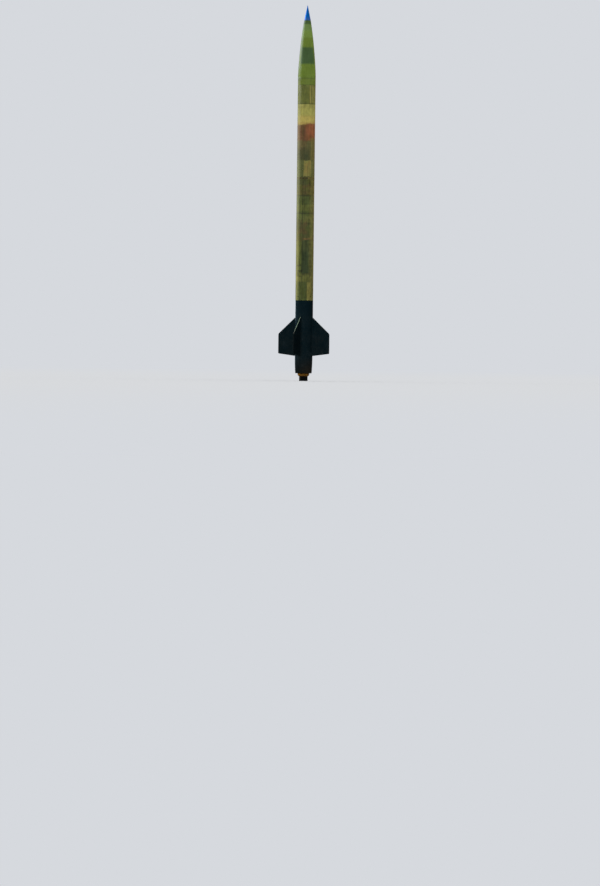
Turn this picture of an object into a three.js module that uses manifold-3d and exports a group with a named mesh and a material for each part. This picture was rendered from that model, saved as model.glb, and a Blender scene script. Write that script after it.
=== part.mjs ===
// High-power sounding rocket, standing upright on its motor end.
// Units are millimetres, +Z is up, and the origin is the middle of the motor end on the floor.
// The two rail buttons face +Y, and the four fins stand between the X and Y axes.

import * as THREE from 'three';
import { mergeVertices } from 'three/addons/utils/BufferGeometryUtils.js';
import Module from 'manifold-3d';

const wasm = await Module();
wasm.setup();

// Driving dimensions of the airframe
const TUBE_RADIUS = 78.35;
const WALL = 2.2;
const GAP = 0.3;
const BORE_RADIUS = TUBE_RADIUS - WALL;
const COUPLER_RADIUS = BORE_RADIUS - GAP;
const COUPLER_BORE = COUPLER_RADIUS - WALL;
const PLATE_RADIUS = COUPLER_BORE - GAP;
const SIDES = 40;

// Heights above the floor, from the motor end to the point of the nose
const HEIGHT = {
  ringBottom: 43,
  ringTop: 66,
  tailBottom: 68,
  tailTop: 217,
  finCanTop: 713,
  frontRing: 864,
  motorTop: 885,
  bayBottom: 1640,
  boosterTop: 1783,
  bandTop: 1803,
  bayTop: 1951,
  shoulderBottom: 2447,
  payloadTop: 2617,
  collarTop: 2690,
  tipBase: 3191,
  point: 3324,
};

// Nose cone
const NOSE_LENGTH = 622;
const NOSE_WALL = 2.5;
const NOSE_STEPS = 9;
const POINT_RADIUS = 1.6;
const TIP_PLUG_LENGTH = 26;

// Fins
const FIN = {
  thickness: 6.4,
  edge: 4,
  bevel: 1.2,
  rootTrail: 221,
  rootLead: 568,
  tipTrail: 242,
  tipLead: 417,
  tipRadius: 244,
  rootInside: 50,
  corner: 9,
  fillet: 14,
  filletSteps: 4,
};
const FIN_ANGLES = { fin_front_left: 225, fin_front_right: 315, fin_back_right: 45, fin_back_left: 135 };

// Tail cone
const TAIL_END_RADIUS = 72.5;
const TAIL_END_CHAMFER = 2;
const TAIL_WALL = 3;
const TAIL_END_WALL = 8;
const TAIL_SPIGOT = 35;
const TAIL_CURVE = 2;
const TAIL_STEPS = 6;
const FIN_CAN_SPIGOT = 70;
const FIN_CAN_STEP = 12;

// Motor, its closure and the ring that keeps it in
const MOTOR_RADIUS = 37.5;
const CLOSURE_RADIUS = 38;
const FLANGE_RADIUS = 41.5;
const FLANGE_BOTTOM = 46;
const FLANGE_TOP = 52;
const CLOSURE_TOP = 80;
const NOZZLE_RADIUS = 30;
const NOZZLE_TOP = 62;
const NOZZLE_EXIT = 25;
const THROAT_RADIUS = 9;
const THROAT_HEIGHT = 44;
const NOZZLE_INLET = 20;
const NOZZLE_LIP = 1;
const THREAD_RADIUS = 43.2;
const RING_RADIUS = 52;
const RING_LIP_RADIUS = 43;
const RING_FLARE_TOP = 56;
const BODY_RADIUS = 52;
const RETAINER_TOP = 90;
const GROOVE_HEIGHTS = [20];
const GROOVE_DEPTH = 1.1;
const GROOVE_WIDTH = 3;
const FRONT_RING_THICKNESS = 12;

// Avionics bay, bulkheads and their fittings
const PLATE_THICKNESS = 8;
const PLATE_STEP = 6;
const ROD_RADIUS = 4;
const ROD_OFFSET = 48;
const ROD_END = 14;
const NUT_RADIUS = 7.5;
const NUT_HEIGHT = 6.5;
const NUT_SIDES = 6;
const ROD_SIDES = 8;
const HOLE_SIDES = 10;
const BOLT_LEG_OFFSET = 20;
const BOLT_REACH = 50;
const BOLT_TAIL = 10;
const BOLT_SIDES = 4;
const BOLT_STEPS = 16;
const LEG_PLACES = [[0, -BOLT_LEG_OFFSET], [0, BOLT_LEG_OFFSET]];
const ROD_PLACES = [[-ROD_OFFSET, 0], [ROD_OFFSET, 0]];
const SHOULDER_SETBACK = 4;
const BULKHEAD_SETBACK = 3;
const BULKHEAD_THICKNESS = 9.5;

// Rail buttons
const BUTTON = { flange: 8, neck: 4, base: 3.4, neckLength: 6.4, head: 4.4, sides: 16 };
const BUTTON_HEIGHTS = { rail_button_lower: 255, rail_button_upper: 1250 };

// Finishes
const FINISH = {
  glass: { color: 0x5d6338, roughness: 0.42, metalness: 0 },
  black: { color: 0x0c1418, roughness: 0.4, metalness: 0 },
  blue: { color: 0x3f7dc2, roughness: 0.3, metalness: 0.8 },
  gold: { color: 0x9a6420, roughness: 0.35, metalness: 0.8 },
  darkMetal: { color: 0x14171a, roughness: 0.45, metalness: 0.5 },
  graphite: { color: 0x1d1e20, roughness: 0.7, metalness: 0 },
  aluminium: { color: 0x9aa0a4, roughness: 0.4, metalness: 0.8 },
  steel: { color: 0x8b9095, roughness: 0.35, metalness: 0.9 },
  laminate: { color: 0x4f5a34, roughness: 0.5, metalness: 0 },
  band: { color: 0x3a3c22, roughness: 0.45, metalness: 0 },
  acetal: { color: 0x101214, roughness: 0.5, metalness: 0 },
};

const rocket = new THREE.Group();

// Adds one named piece with its finish.
function addPiece(name, geometry, finish, parent = rocket) {
  const piece = new THREE.Mesh(geometry, new THREE.MeshStandardMaterial(FINISH[finish]));
  piece.name = name;
  parent.add(piece);
  return piece;
}

// Turns a profile of [radius, height] points, listed with the material on the left, about the Z axis.
function turned(profile, sides = SIDES) {
  const points = profile.map(([radius, height]) => new THREE.Vector2(radius, height));
  const geometry = new THREE.LatheGeometry(points, sides);
  return geometry.rotateX(Math.PI / 2);
}

// A ring-shaped profile that closes on itself.
function turnedRing(profile, sides = SIDES) {
  return turned([...profile, profile[0]], sides);
}

function plainTube(inner, outer, bottom, top) {
  return turnedRing([[inner, bottom], [outer, bottom], [outer, top], [inner, top]]);
}

function plainRod(radius, bottom, top, sides) {
  return turned([[0, bottom], [radius, bottom], [radius, top], [0, top]], sides);
}

// Closed three.js geometry to a solid for cutting and joining, and back.
function toSolid(geometry) {
  const bare = geometry.clone();
  bare.deleteAttribute('normal');
  bare.deleteAttribute('uv');
  const merged = mergeVertices(bare, 1e-4);
  return new wasm.Manifold(new wasm.Mesh({
    numProp: 3,
    vertProperties: new Float32Array(merged.attributes.position.array),
    triVerts: new Uint32Array(merged.index.array),
  }));
}

function toGeometry(solid) {
  const mesh = solid.getMesh();
  const geometry = new THREE.BufferGeometry();
  geometry.setAttribute('position', new THREE.BufferAttribute(mesh.vertProperties, 3));
  geometry.setIndex(new THREE.BufferAttribute(mesh.triVerts, 1));
  return geometry;
}

function joined(geometries) {
  const solids = geometries.map(toSolid);
  return toGeometry(solids.reduce((whole, next) => whole.add(next)));
}

function cut(geometry, tools) {
  const solid = tools.map(toSolid).reduce((rest, tool) => rest.subtract(tool), toSolid(geometry));
  return toGeometry(solid);
}

// Radius of the low-drag nose curve at a height above the floor. The metal point is straight and
// ends a little above the curve.
function noseRadius(height) {
  const fromPoint = (HEIGHT.collarTop + NOSE_LENGTH - height) / NOSE_LENGTH;
  const angle = Math.acos(1 - 2 * fromPoint);
  return TUBE_RADIUS * Math.sqrt((angle - Math.sin(2 * angle) / 2) / Math.PI);
}

// Points of the nose curve from its base up to the metal tip, closer together near the tip.
function noseCurve(inset) {
  const points = [];
  for (let i = 0; i <= NOSE_STEPS; i += 1) {
    const share = Math.sin((i / NOSE_STEPS) * Math.PI / 2);
    const height = THREE.MathUtils.lerp(HEIGHT.collarTop + GAP, HEIGHT.tipBase, share);
    points.push([noseRadius(height) - inset, height]);
  }
  return points;
}

// Cutters for round holes along Z at the given [x, y] places.
function holes(places, radius, bottom, top) {
  return places.map(([x, y]) => plainRod(radius, bottom - 1, top + 1, HOLE_SIDES).translate(x, y, 0));
}

// Centre line of a U-bolt: up one leg, over the bow and down the other leg, in the YZ plane.
class BowCurve extends THREE.Curve {
  constructor(bottom, shoulder) {
    super();
    this.leg = shoulder - bottom;
    this.bottom = bottom;
    this.shoulder = shoulder;
    this.bow = Math.PI * BOLT_LEG_OFFSET;
  }

  getPoint(share, target = new THREE.Vector3()) {
    const along = share * (2 * this.leg + this.bow);
    if (along < this.leg) return target.set(0, -BOLT_LEG_OFFSET, this.bottom + along);
    if (along > this.leg + this.bow) {
      return target.set(0, BOLT_LEG_OFFSET, this.shoulder - (along - this.leg - this.bow));
    }
    const angle = (along - this.leg) / BOLT_LEG_OFFSET;
    const side = -BOLT_LEG_OFFSET * Math.cos(angle);
    return target.set(0, side, this.shoulder + BOLT_LEG_OFFSET * Math.sin(angle));
  }
}

// U-bolt with its four nuts. Height 0 is the face under the bow, and the plate lies below it.
function uBolt(plateThickness) {
  const shoulder = BOLT_REACH - BOLT_LEG_OFFSET - ROD_RADIUS;
  const path = new BowCurve(-plateThickness - BOLT_TAIL, shoulder);
  const section = new THREE.Shape().absarc(0, 0, ROD_RADIUS, 0, 2 * Math.PI);
  const options = { extrudePath: path, steps: BOLT_STEPS, curveSegments: BOLT_SIDES, bevelEnabled: false };
  const rod = new THREE.ExtrudeGeometry(section, options);
  const nuts = [];
  for (const side of [-1, 1]) {
    for (const bottom of [GAP, -plateThickness - GAP - NUT_HEIGHT]) {
      const nut = plainRod(NUT_RADIUS, bottom, bottom + NUT_HEIGHT, NUT_SIDES);
      nuts.push(nut.translate(0, side * BOLT_LEG_OFFSET, 0));
    }
  }
  return joined([rod, ...nuts]);
}

// Adds a U-bolt whose bow stands up from a plate's top face, or hangs from its bottom face.
function addUBolt(name, face, plateThickness, hangs, parent) {
  const bolt = addPiece(name, uBolt(plateThickness), 'steel', parent);
  bolt.position.z = face;
  if (hangs) bolt.rotation.x = Math.PI;
}

// Nose: shell, metal point, straight collar, and the shoulder that slides into the payload tube.
function makeNose() {
  const nose = new THREE.Group();
  addPiece('nose_cone', turnedRing([...noseCurve(0), ...noseCurve(NOSE_WALL).reverse()]), 'glass', nose);
  const seat = noseRadius(HEIGHT.tipBase) - GAP;
  const plug = seat - NOSE_WALL;
  const plugBottom = HEIGHT.tipBase - TIP_PLUG_LENGTH;
  const plugTop = HEIGHT.tipBase + GAP;
  const pointStart = HEIGHT.point - POINT_RADIUS;
  addPiece('nose_tip', turned([
    [0, plugBottom], [plug, plugBottom], [plug, plugTop],
    [seat, plugTop], [POINT_RADIUS, pointStart], [0, HEIGHT.point],
  ]), 'blue', nose);
  const collar = plainTube(BORE_RADIUS, TUBE_RADIUS, HEIGHT.payloadTop, HEIGHT.collarTop);
  addPiece('nose_collar', collar, 'glass', nose);
  const shoulderTop = HEIGHT.collarTop - SHOULDER_SETBACK;
  const shoulder = plainTube(COUPLER_BORE, COUPLER_RADIUS, HEIGHT.shoulderBottom, shoulderTop);
  addPiece('nose_shoulder', shoulder, 'laminate', nose);
  const bulkheadBottom = HEIGHT.shoulderBottom + BULKHEAD_SETBACK;
  const bulkheadTop = bulkheadBottom + BULKHEAD_THICKNESS;
  const disc = plainRod(PLATE_RADIUS, bulkheadBottom, bulkheadTop, SIDES);
  const legHoles = holes(LEG_PLACES, ROD_RADIUS + GAP, bulkheadBottom, bulkheadTop);
  addPiece('nose_bulkhead', cut(disc, legHoles), 'laminate', nose);
  addUBolt('nose_u_bolt', bulkheadBottom, BULKHEAD_THICKNESS, true, nose);
  rocket.add(nose);
}

// Payload section: its tube, and the avionics bay whose lower half slides into the booster.
function makePayloadSection() {
  const section = new THREE.Group();
  const tubeBottom = HEIGHT.bandTop + GAP;
  const tube = plainTube(BORE_RADIUS, TUBE_RADIUS, tubeBottom, HEIGHT.payloadTop - GAP);
  addPiece('payload_tube', tube, 'glass', section);
  const coupler = plainTube(COUPLER_BORE, COUPLER_RADIUS, HEIGHT.bayBottom, HEIGHT.bayTop);
  addPiece('bay_coupler', coupler, 'laminate', section);
  const bandBottom = HEIGHT.boosterTop + GAP;
  addPiece('switch_band', plainTube(BORE_RADIUS, TUBE_RADIUS, bandBottom, HEIGHT.bandTop), 'band', section);

  const plateEnds = [
    { name: 'bay_plate_lower', bolt: 'bay_u_bolt_lower', seat: HEIGHT.bayBottom - GAP, outward: -1 },
    { name: 'bay_plate_upper', bolt: 'bay_u_bolt_upper', seat: HEIGHT.bayTop + GAP, outward: 1 },
  ];
  for (const { name, bolt, seat, outward } of plateEnds) {
    const outerFace = seat + outward * PLATE_THICKNESS;
    const innerFace = seat - outward * (PLATE_STEP + GAP);
    const rim = plainRod(COUPLER_RADIUS, Math.min(seat, outerFace), Math.max(seat, outerFace), SIDES);
    const step = plainRod(PLATE_RADIUS, Math.min(innerFace, outerFace), Math.max(innerFace, outerFace), SIDES);
    const bottom = Math.min(innerFace, outerFace);
    const top = Math.max(innerFace, outerFace);
    const plate = cut(joined([rim, step]), [
      ...holes(LEG_PLACES, ROD_RADIUS + GAP, bottom, top),
      ...holes(ROD_PLACES, ROD_RADIUS + GAP, bottom, top),
    ]);
    addPiece(name, plate, 'laminate', section);
    addUBolt(bolt, outerFace, top - bottom, outward < 0, section);
  }

  const lowerFace = HEIGHT.bayBottom - GAP - PLATE_THICKNESS;
  const upperFace = HEIGHT.bayTop + GAP + PLATE_THICKNESS;
  const rodNames = ['bay_rod_left', 'bay_rod_right'];
  ROD_PLACES.forEach(([x, y], i) => {
    const rod = joined([
      plainRod(ROD_RADIUS, lowerFace - ROD_END, upperFace + ROD_END, ROD_SIDES),
      plainRod(NUT_RADIUS, lowerFace - GAP - NUT_HEIGHT, lowerFace - GAP, NUT_SIDES),
      plainRod(NUT_RADIUS, upperFace + GAP, upperFace + GAP + NUT_HEIGHT, NUT_SIDES),
    ]);
    addPiece(rodNames[i], rod, 'steel', section).position.set(x, y, 0);
  });
  rocket.add(section);
}

// Booster tube and the fin can below it, whose spigot stands in the booster tube.
function makeBoosterTubes() {
  const tube = plainTube(BORE_RADIUS, TUBE_RADIUS, HEIGHT.finCanTop + GAP, HEIGHT.boosterTop);
  addPiece('booster_tube', tube, 'glass');
  const bottom = HEIGHT.tailTop + GAP;
  const top = HEIGHT.finCanTop;
  addPiece('fin_can', turnedRing([
    [BORE_RADIUS, bottom], [TUBE_RADIUS, bottom], [TUBE_RADIUS, top], [COUPLER_RADIUS, top],
    [COUPLER_RADIUS, top + FIN_CAN_SPIGOT], [COUPLER_BORE, top + FIN_CAN_SPIGOT],
    [COUPLER_BORE, top - FIN_CAN_STEP], [BORE_RADIUS, top - FIN_CAN_STEP],
  ]), 'black');
}

// Outline of a fin in radius and height, with its root carried on inside the tube.
function finOutline(rounded) {
  const span = FIN.tipRadius - TUBE_RADIUS;
  const inward = TUBE_RADIUS - FIN.rootInside;
  const leadSlope = (FIN.tipLead - FIN.rootLead) / span;
  const trailSlope = (FIN.tipTrail - FIN.rootTrail) / span;
  const shape = new THREE.Shape();
  shape.moveTo(FIN.rootInside, FIN.rootTrail - trailSlope * inward);
  const corner = rounded ? FIN.corner : 0;
  shape.lineTo(FIN.tipRadius - corner, FIN.tipTrail - trailSlope * corner);
  if (corner) shape.quadraticCurveTo(FIN.tipRadius, FIN.tipTrail, FIN.tipRadius, FIN.tipTrail + corner);
  shape.lineTo(FIN.tipRadius, FIN.tipLead - corner);
  const leadCorner = new THREE.Vector2(FIN.tipRadius - corner, FIN.tipLead - leadSlope * corner);
  if (corner) shape.quadraticCurveTo(FIN.tipRadius, FIN.tipLead, leadCorner.x, leadCorner.y);
  shape.lineTo(FIN.rootInside, FIN.rootLead - leadSlope * inward);
  shape.closePath();
  return shape;
}

// Slab of an outline that lies in the XZ plane, centred on Y.
function slab(shape, depth, options) {
  const geometry = new THREE.ExtrudeGeometry(shape, { depth, bevelEnabled: false, curveSegments: 3, ...options });
  return geometry.translate(0, 0, -depth / 2).rotateX(Math.PI / 2);
}

// Cross-section of the tube's surface blended into both faces of a fin, in the XY plane.
function filletSection() {
  const centreY = FIN.thickness / 2 + FIN.fillet;
  const centreX = Math.sqrt((TUBE_RADIUS + FIN.fillet) ** 2 - centreY ** 2);
  const toAxis = Math.atan2(-centreY, -centreX);
  const shape = new THREE.Shape();
  shape.moveTo(FIN.rootInside, -centreY);
  shape.absarc(centreX, -centreY, FIN.fillet, -toAxis, Math.PI / 2, true);
  shape.absarc(centreX, centreY, FIN.fillet, -Math.PI / 2, toAxis, true);
  shape.lineTo(FIN.rootInside, centreY);
  shape.closePath();
  return shape;
}

// One fin along +X: a bevelled plate with rounded corners and a fillet on each side of its root.
function finGeometry() {
  const bevelThickness = (FIN.thickness - FIN.edge) / 2;
  const plate = slab(finOutline(false), FIN.edge, {
    bevelEnabled: true,
    bevelThickness,
    bevelSize: FIN.bevel,
    bevelOffset: -FIN.bevel,
    bevelSegments: 1,
  });
  const outline = slab(finOutline(true), 4 * FIN.fillet);
  const strip = new THREE.ExtrudeGeometry(filletSection(), {
    depth: FIN.rootLead - FIN.rootTrail,
    bevelEnabled: false,
    curveSegments: FIN.filletSteps,
  }).translate(0, 0, FIN.rootTrail);
  const tube = plainRod(TUBE_RADIUS + GAP, 0, HEIGHT.finCanTop, SIDES);
  const whole = toSolid(plate).add(toSolid(strip)).intersect(toSolid(outline));
  return toGeometry(whole.subtract(toSolid(tube)));
}

function makeFins() {
  for (const [name, degrees] of Object.entries(FIN_ANGLES)) {
    addPiece(name, finGeometry(), 'black').rotation.z = THREE.MathUtils.degToRad(degrees);
  }
}

// Tail cone: a shell that curves in to a flat end wall, with a spigot that stands in the fin can.
function makeTailCone() {
  const outer = [];
  const inner = [];
  for (let i = 0; i <= TAIL_STEPS; i += 1) {
    const share = i / TAIL_STEPS;
    const height = THREE.MathUtils.lerp(HEIGHT.tailBottom, HEIGHT.tailTop, share);
    const radius = TUBE_RADIUS - (TUBE_RADIUS - TAIL_END_RADIUS) * (1 - share) ** TAIL_CURVE;
    outer.push([radius, height]);
    if (share > 0 && share < 1) inner.unshift([radius - TAIL_WALL, height]);
  }
  const endRadius = TAIL_END_RADIUS - TAIL_END_CHAMFER;
  outer[0] = [TAIL_END_RADIUS, HEIGHT.tailBottom + TAIL_END_CHAMFER];
  const wallTop = HEIGHT.tailBottom + TAIL_END_WALL;
  const spigotTop = HEIGHT.tailTop + TAIL_SPIGOT;
  addPiece('tail_cone', turnedRing([
    [BODY_RADIUS + GAP, HEIGHT.tailBottom], [endRadius, HEIGHT.tailBottom],
    ...outer,
    [COUPLER_RADIUS, HEIGHT.tailTop], [COUPLER_RADIUS, spigotTop], [COUPLER_BORE, spigotTop],
    ...inner,
    [TAIL_END_RADIUS - TAIL_WALL, wallTop], [BODY_RADIUS + GAP, wallTop],
  ]), 'black');
}

// Motor: its case as one plain block, the closure that the rocket stands on, and the nozzle.
function makeMotor() {
  addPiece('motor_case', plainRod(MOTOR_RADIUS, CLOSURE_TOP + GAP, HEIGHT.motorTop, SIDES), 'aluminium');
  const grooves = GROOVE_HEIGHTS.flatMap((height) => [
    [CLOSURE_RADIUS, height], [CLOSURE_RADIUS - GROOVE_DEPTH, height],
    [CLOSURE_RADIUS - GROOVE_DEPTH, height + GROOVE_WIDTH], [CLOSURE_RADIUS, height + GROOVE_WIDTH],
  ]);
  addPiece('motor_closure', turned([
    [0, NOZZLE_TOP], [NOZZLE_RADIUS + GAP, NOZZLE_TOP], [NOZZLE_RADIUS + GAP, 0], [CLOSURE_RADIUS, 0],
    ...grooves,
    [CLOSURE_RADIUS, FLANGE_BOTTOM], [FLANGE_RADIUS, FLANGE_BOTTOM], [FLANGE_RADIUS, FLANGE_TOP],
    [MOTOR_RADIUS, FLANGE_TOP], [MOTOR_RADIUS, CLOSURE_TOP], [0, CLOSURE_TOP],
  ]), 'darkMetal');
  addPiece('nozzle', turnedRing([
    [NOZZLE_EXIT, NOZZLE_LIP], [NOZZLE_RADIUS, NOZZLE_LIP], [NOZZLE_RADIUS, NOZZLE_TOP - GAP],
    [NOZZLE_INLET, NOZZLE_TOP - GAP], [THROAT_RADIUS, THROAT_HEIGHT],
  ]), 'graphite');
  const ringBore = MOTOR_RADIUS + GAP;
  const ringTop = HEIGHT.frontRing + FRONT_RING_THICKNESS;
  const frontRing = plainTube(ringBore, COUPLER_RADIUS, HEIGHT.frontRing, ringTop);
  addPiece('motor_front_ring', frontRing, 'laminate');
}

// Motor retainer: a threaded body in the tail cone's end wall, and the ring that screws onto it.
function makeRetainer() {
  const seat = HEIGHT.ringTop + GAP;
  addPiece('retainer_body', turnedRing([
    [MOTOR_RADIUS + GAP, FLANGE_TOP + GAP], [THREAD_RADIUS, FLANGE_TOP + GAP], [THREAD_RADIUS, seat],
    [BODY_RADIUS, seat], [BODY_RADIUS, RETAINER_TOP], [MOTOR_RADIUS + GAP, RETAINER_TOP],
  ]), 'darkMetal');
  addPiece('retainer_ring', turnedRing([
    [CLOSURE_RADIUS + GAP, HEIGHT.ringBottom], [RING_LIP_RADIUS, HEIGHT.ringBottom],
    [RING_RADIUS, RING_FLARE_TOP], [RING_RADIUS, HEIGHT.ringTop],
    [THREAD_RADIUS + GAP, HEIGHT.ringTop], [THREAD_RADIUS + GAP, FLANGE_BOTTOM - GAP],
    [CLOSURE_RADIUS + GAP, FLANGE_BOTTOM - GAP],
  ]), 'gold');
}

// Rail buttons: grooved rollers that run in a launch rail's slot, on the +Y side.
function makeRailButtons() {
  const neckTop = BUTTON.base + BUTTON.neckLength;
  const top = neckTop + BUTTON.head;
  for (const [name, height] of Object.entries(BUTTON_HEIGHTS)) {
    const button = addPiece(name, turned([
      [0, 0], [BUTTON.flange, 0], [BUTTON.flange, BUTTON.base], [BUTTON.neck, BUTTON.base],
      [BUTTON.neck, neckTop], [BUTTON.flange, neckTop], [BUTTON.flange, top], [0, top],
    ], BUTTON.sides), 'acetal');
    button.rotation.x = -Math.PI / 2;
    button.position.set(0, TUBE_RADIUS + GAP, height);
  }
}

makeNose();
makePayloadSection();
makeBoosterTubes();
makeFins();
makeTailCone();
makeMotor();
makeRetainer();
makeRailButtons();

export default rocket;
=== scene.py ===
import math

import bmesh
import bpy
from mathutils import Matrix, Vector


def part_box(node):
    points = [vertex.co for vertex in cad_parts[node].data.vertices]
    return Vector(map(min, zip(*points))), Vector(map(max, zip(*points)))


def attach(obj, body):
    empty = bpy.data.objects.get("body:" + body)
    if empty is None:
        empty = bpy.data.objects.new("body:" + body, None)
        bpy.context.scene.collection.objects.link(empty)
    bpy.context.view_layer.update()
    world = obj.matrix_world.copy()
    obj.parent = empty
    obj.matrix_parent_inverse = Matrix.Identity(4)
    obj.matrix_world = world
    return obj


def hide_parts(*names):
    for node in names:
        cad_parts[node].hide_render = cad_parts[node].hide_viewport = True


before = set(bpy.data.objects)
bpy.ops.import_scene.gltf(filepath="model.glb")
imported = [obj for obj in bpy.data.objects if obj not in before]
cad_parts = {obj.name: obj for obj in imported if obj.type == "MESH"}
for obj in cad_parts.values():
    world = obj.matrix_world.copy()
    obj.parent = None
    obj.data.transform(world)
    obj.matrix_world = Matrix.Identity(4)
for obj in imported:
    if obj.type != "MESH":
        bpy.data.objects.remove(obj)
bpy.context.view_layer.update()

MM = 0.001
NOTHING = 1e-7
TAU = 2 * math.pi
UP = Vector((0, 0, 1))

# Where the photograph is taken from, and where the rocket stands in its 600 x 886 frame
FRAME_WIDTH = 600
FRAME_HEIGHT = 886
BASE_PIXEL = (303.3, 381.0)
POINT_PIXEL = (307.7, 5.4)
VIEW_AZIMUTH = math.radians(-22.5)
CAMERA_DISTANCE = 55.0
CAMERA_HEIGHT = 0.25
CAMERA_SEES_FROM = 1.0
CAMERA_SEES_TO = 600.0
SENSOR_LONG_SIDE = 36.0


def low(node):
    """Lowest height of a frame node."""
    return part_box(node)[0].z


def high(node):
    """Highest height of a frame node."""
    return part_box(node)[1].z


def reach(node):
    """Largest radius of a frame node, which has a corner on the X axis."""
    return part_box(node)[1].x


# Sizes that the frame gives
TUBE_RADIUS = reach("booster_tube")
COUPLER_RADIUS = reach("bay_coupler")
NOSE_BASE = low("nose_cone")
TIP_BASE = high("nose_cone")
ROCKET_TOP = high("nose_tip")
BAND_MIDDLE = (low("switch_band") + high("switch_band")) / 2

# How finely and how softly pieces are made
AROUND = 128
SHARP_ANGLE = 30
SEAM = 0.3 * MM
RIM = 0.4 * MM
EASING_STEPS = 2

# Walls and boards
WALL = 2.2 * MM
BORE_RADIUS = TUBE_RADIUS - WALL
COUPLER_BORE = COUPLER_RADIUS - WALL
NOSE_WALL = 2.5 * MM
PLATE_RIM = 8 * MM

# The nose curve, its metal point, and the groove round the foot of that as (depth, rise) in mm
NOSE_LENGTH = 622 * MM
CURVE_TOP = NOSE_BASE - SEAM + NOSE_LENGTH
POINT_RADIUS = 1.6 * MM
POINT_GROOVE = ((0, 0), (0.2, 2.0), (1.1, 2.3), (1.2, 3.5), (0.9, 3.8))

# Threads, nuts and U-bolts
BOLT_ROD = 4 * MM
BOLT_SPREAD = 20 * MM
BOLT_REACH = 50 * MM
NUT_RADIUS = 7.5 * MM
NUT_HEIGHT = 6.5 * MM
THREAD_PITCH = 1.25 * MM
THREAD_DEPTH = 0.45 * MM
THREAD_STEP = THREAD_PITCH / 2

# Holes as (degrees round from the photographed side, height, radius)
PAYLOAD_VENT = (104, 2.305, 2.5 * MM)
BOOSTER_VENT = (-19, 1.56, 4 * MM)
SWITCH_PORTS = [(degrees, BAND_MIDDLE, 1.9 * MM) for degrees in (-62, 58, 178)]
HOLE_REACH = 8 * MM
VENT_MARGIN = 12 * MM
LONG_WALL = 100 * MM

# Fins
FIN_ANGLES = {"fin_front_left": 225, "fin_front_right": 315, "fin_back_right": 45, "fin_back_left": 135}
FIN_HALF = 3.2 * MM
FIN_CORE_HALF = 2 * MM
FIN_ROUNDING = 1.2 * MM
FIN_SUNK = 1.2 * MM
FIN_ROOT_TRAIL = 221 * MM
FIN_ROOT_LEAD = 568 * MM
FIN_TIP_TRAIL = 242 * MM
FIN_TIP_LEAD = 417 * MM
FIN_TIP_RADIUS = 244 * MM
FIN_CORNER = 9 * MM
FIN_CORNER_STEPS = 6
FILLET_RADIUS = 14 * MM
FILLET_SUNK = 0.7 * MM

# Tail and motor end
TAIL_END_RADIUS = 72.5 * MM
TAIL_CURVE = 2
MOTOR_RADIUS = 37.5 * MM
CLOSURE_RADIUS = 38 * MM
THREAD_RADIUS = 43.2 * MM
TAIL_SCREW_RING = 59 * MM


def colour(red, green, blue):
    """A display colour from 0 to 255 as the linear colour that shaders take."""
    def linear(value):
        share = value / 255
        return share / 12.92 if share <= 0.04045 else ((share + 0.055) / 1.055) ** 2.4
    return (linear(red), linear(green), linear(blue), 1.0)


# Node trees

NOISE_LOW = 0.3
NOISE_HIGH = 0.7


class Graph:
    """Adds nodes to one tree. A value may be an output socket, a number or a colour."""

    def __init__(self, tree):
        self.tree = tree

    def set(self, socket, value):
        if isinstance(value, bpy.types.NodeSocket):
            self.tree.links.new(value, socket)
        elif value is not None:
            socket.default_value = value

    def node(self, kind, inputs=None, **settings):
        made = self.tree.nodes.new(kind)
        for name, value in settings.items():
            setattr(made, name, value)
        for name, value in (inputs or {}).items():
            self.set(made.inputs[name], value)
        return made

    def math(self, operation, *values, clamp=False):
        made = self.node("ShaderNodeMath", operation=operation, use_clamp=clamp)
        for socket, value in zip(made.inputs, values):
            self.set(socket, value)
        return made.outputs[0]

    def chain(self, operation, result, *values):
        """One operation after another on a running result."""
        for value in values:
            result = self.math(operation, result, value)
        return result

    def plus(self, *values):
        return self.chain("ADD", *values)

    def minus(self, *values):
        return self.chain("SUBTRACT", *values)

    def times(self, *values):
        return self.chain("MULTIPLY", *values)

    def blend(self, share, first, second):
        """Mixes two colours."""
        made = self.node("ShaderNodeMix", data_type="RGBA", clamp_factor=True)
        self.set(made.inputs[0], share)
        self.set(made.inputs[6], first)
        self.set(made.inputs[7], second)
        return made.outputs[2]

    def brightened(self, tint, factor):
        """A colour times a number."""
        made = self.node("ShaderNodeVectorMath", operation="SCALE")
        self.set(made.inputs[0], tint[:3] if isinstance(tint, tuple) else tint)
        self.set(made.inputs["Scale"], factor)
        return made.outputs[0]

    def ramp(self, value, low_in, high_in, low_out=0.0, high_out=1.0, smooth=True):
        """Value from one range to another, held at its ends."""
        made = self.node("ShaderNodeMapRange", interpolation_type="SMOOTHSTEP" if smooth else "LINEAR")
        for socket, given in zip(made.inputs, (value, low_in, high_in, low_out, high_out)):
            self.set(socket, given)
        return made.outputs[0]

    def spread(self, noise, low_out, high_out, smooth=False):
        """A noise's middle range, which holds nearly all of it, spread from one value to another."""
        return self.ramp(noise, NOISE_LOW, NOISE_HIGH, low_out, high_out, smooth)

    def noise(self, vector, scale, detail=3.0, roughness=0.55):
        """Soft noise from 0 to 1. Its scale is in waves per metre."""
        inputs = {"Vector": vector, "Scale": scale, "Detail": detail, "Roughness": roughness}
        return self.node("ShaderNodeTexNoise", inputs).outputs["Fac"]

    def stretched(self, vector, scale):
        """Coordinates stretched or squeezed along each axis."""
        return self.node("ShaderNodeMapping", {"Vector": vector, "Scale": scale}).outputs["Vector"]

    def use(self, group, **values):
        """Places a shared group. Input names have spaces where the keywords have underscores."""
        made = self.node("ShaderNodeGroup", node_tree=group)
        for name, value in values.items():
            self.set(made.inputs[name.replace("_", " ")], value)
        return made


NUMBER = "NodeSocketFloat"
COUNT = "NodeSocketInt"
VECTOR = "NodeSocketVector"
GEOMETRY = "NodeSocketGeometry"
MATERIAL = "NodeSocketMaterial"


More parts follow.
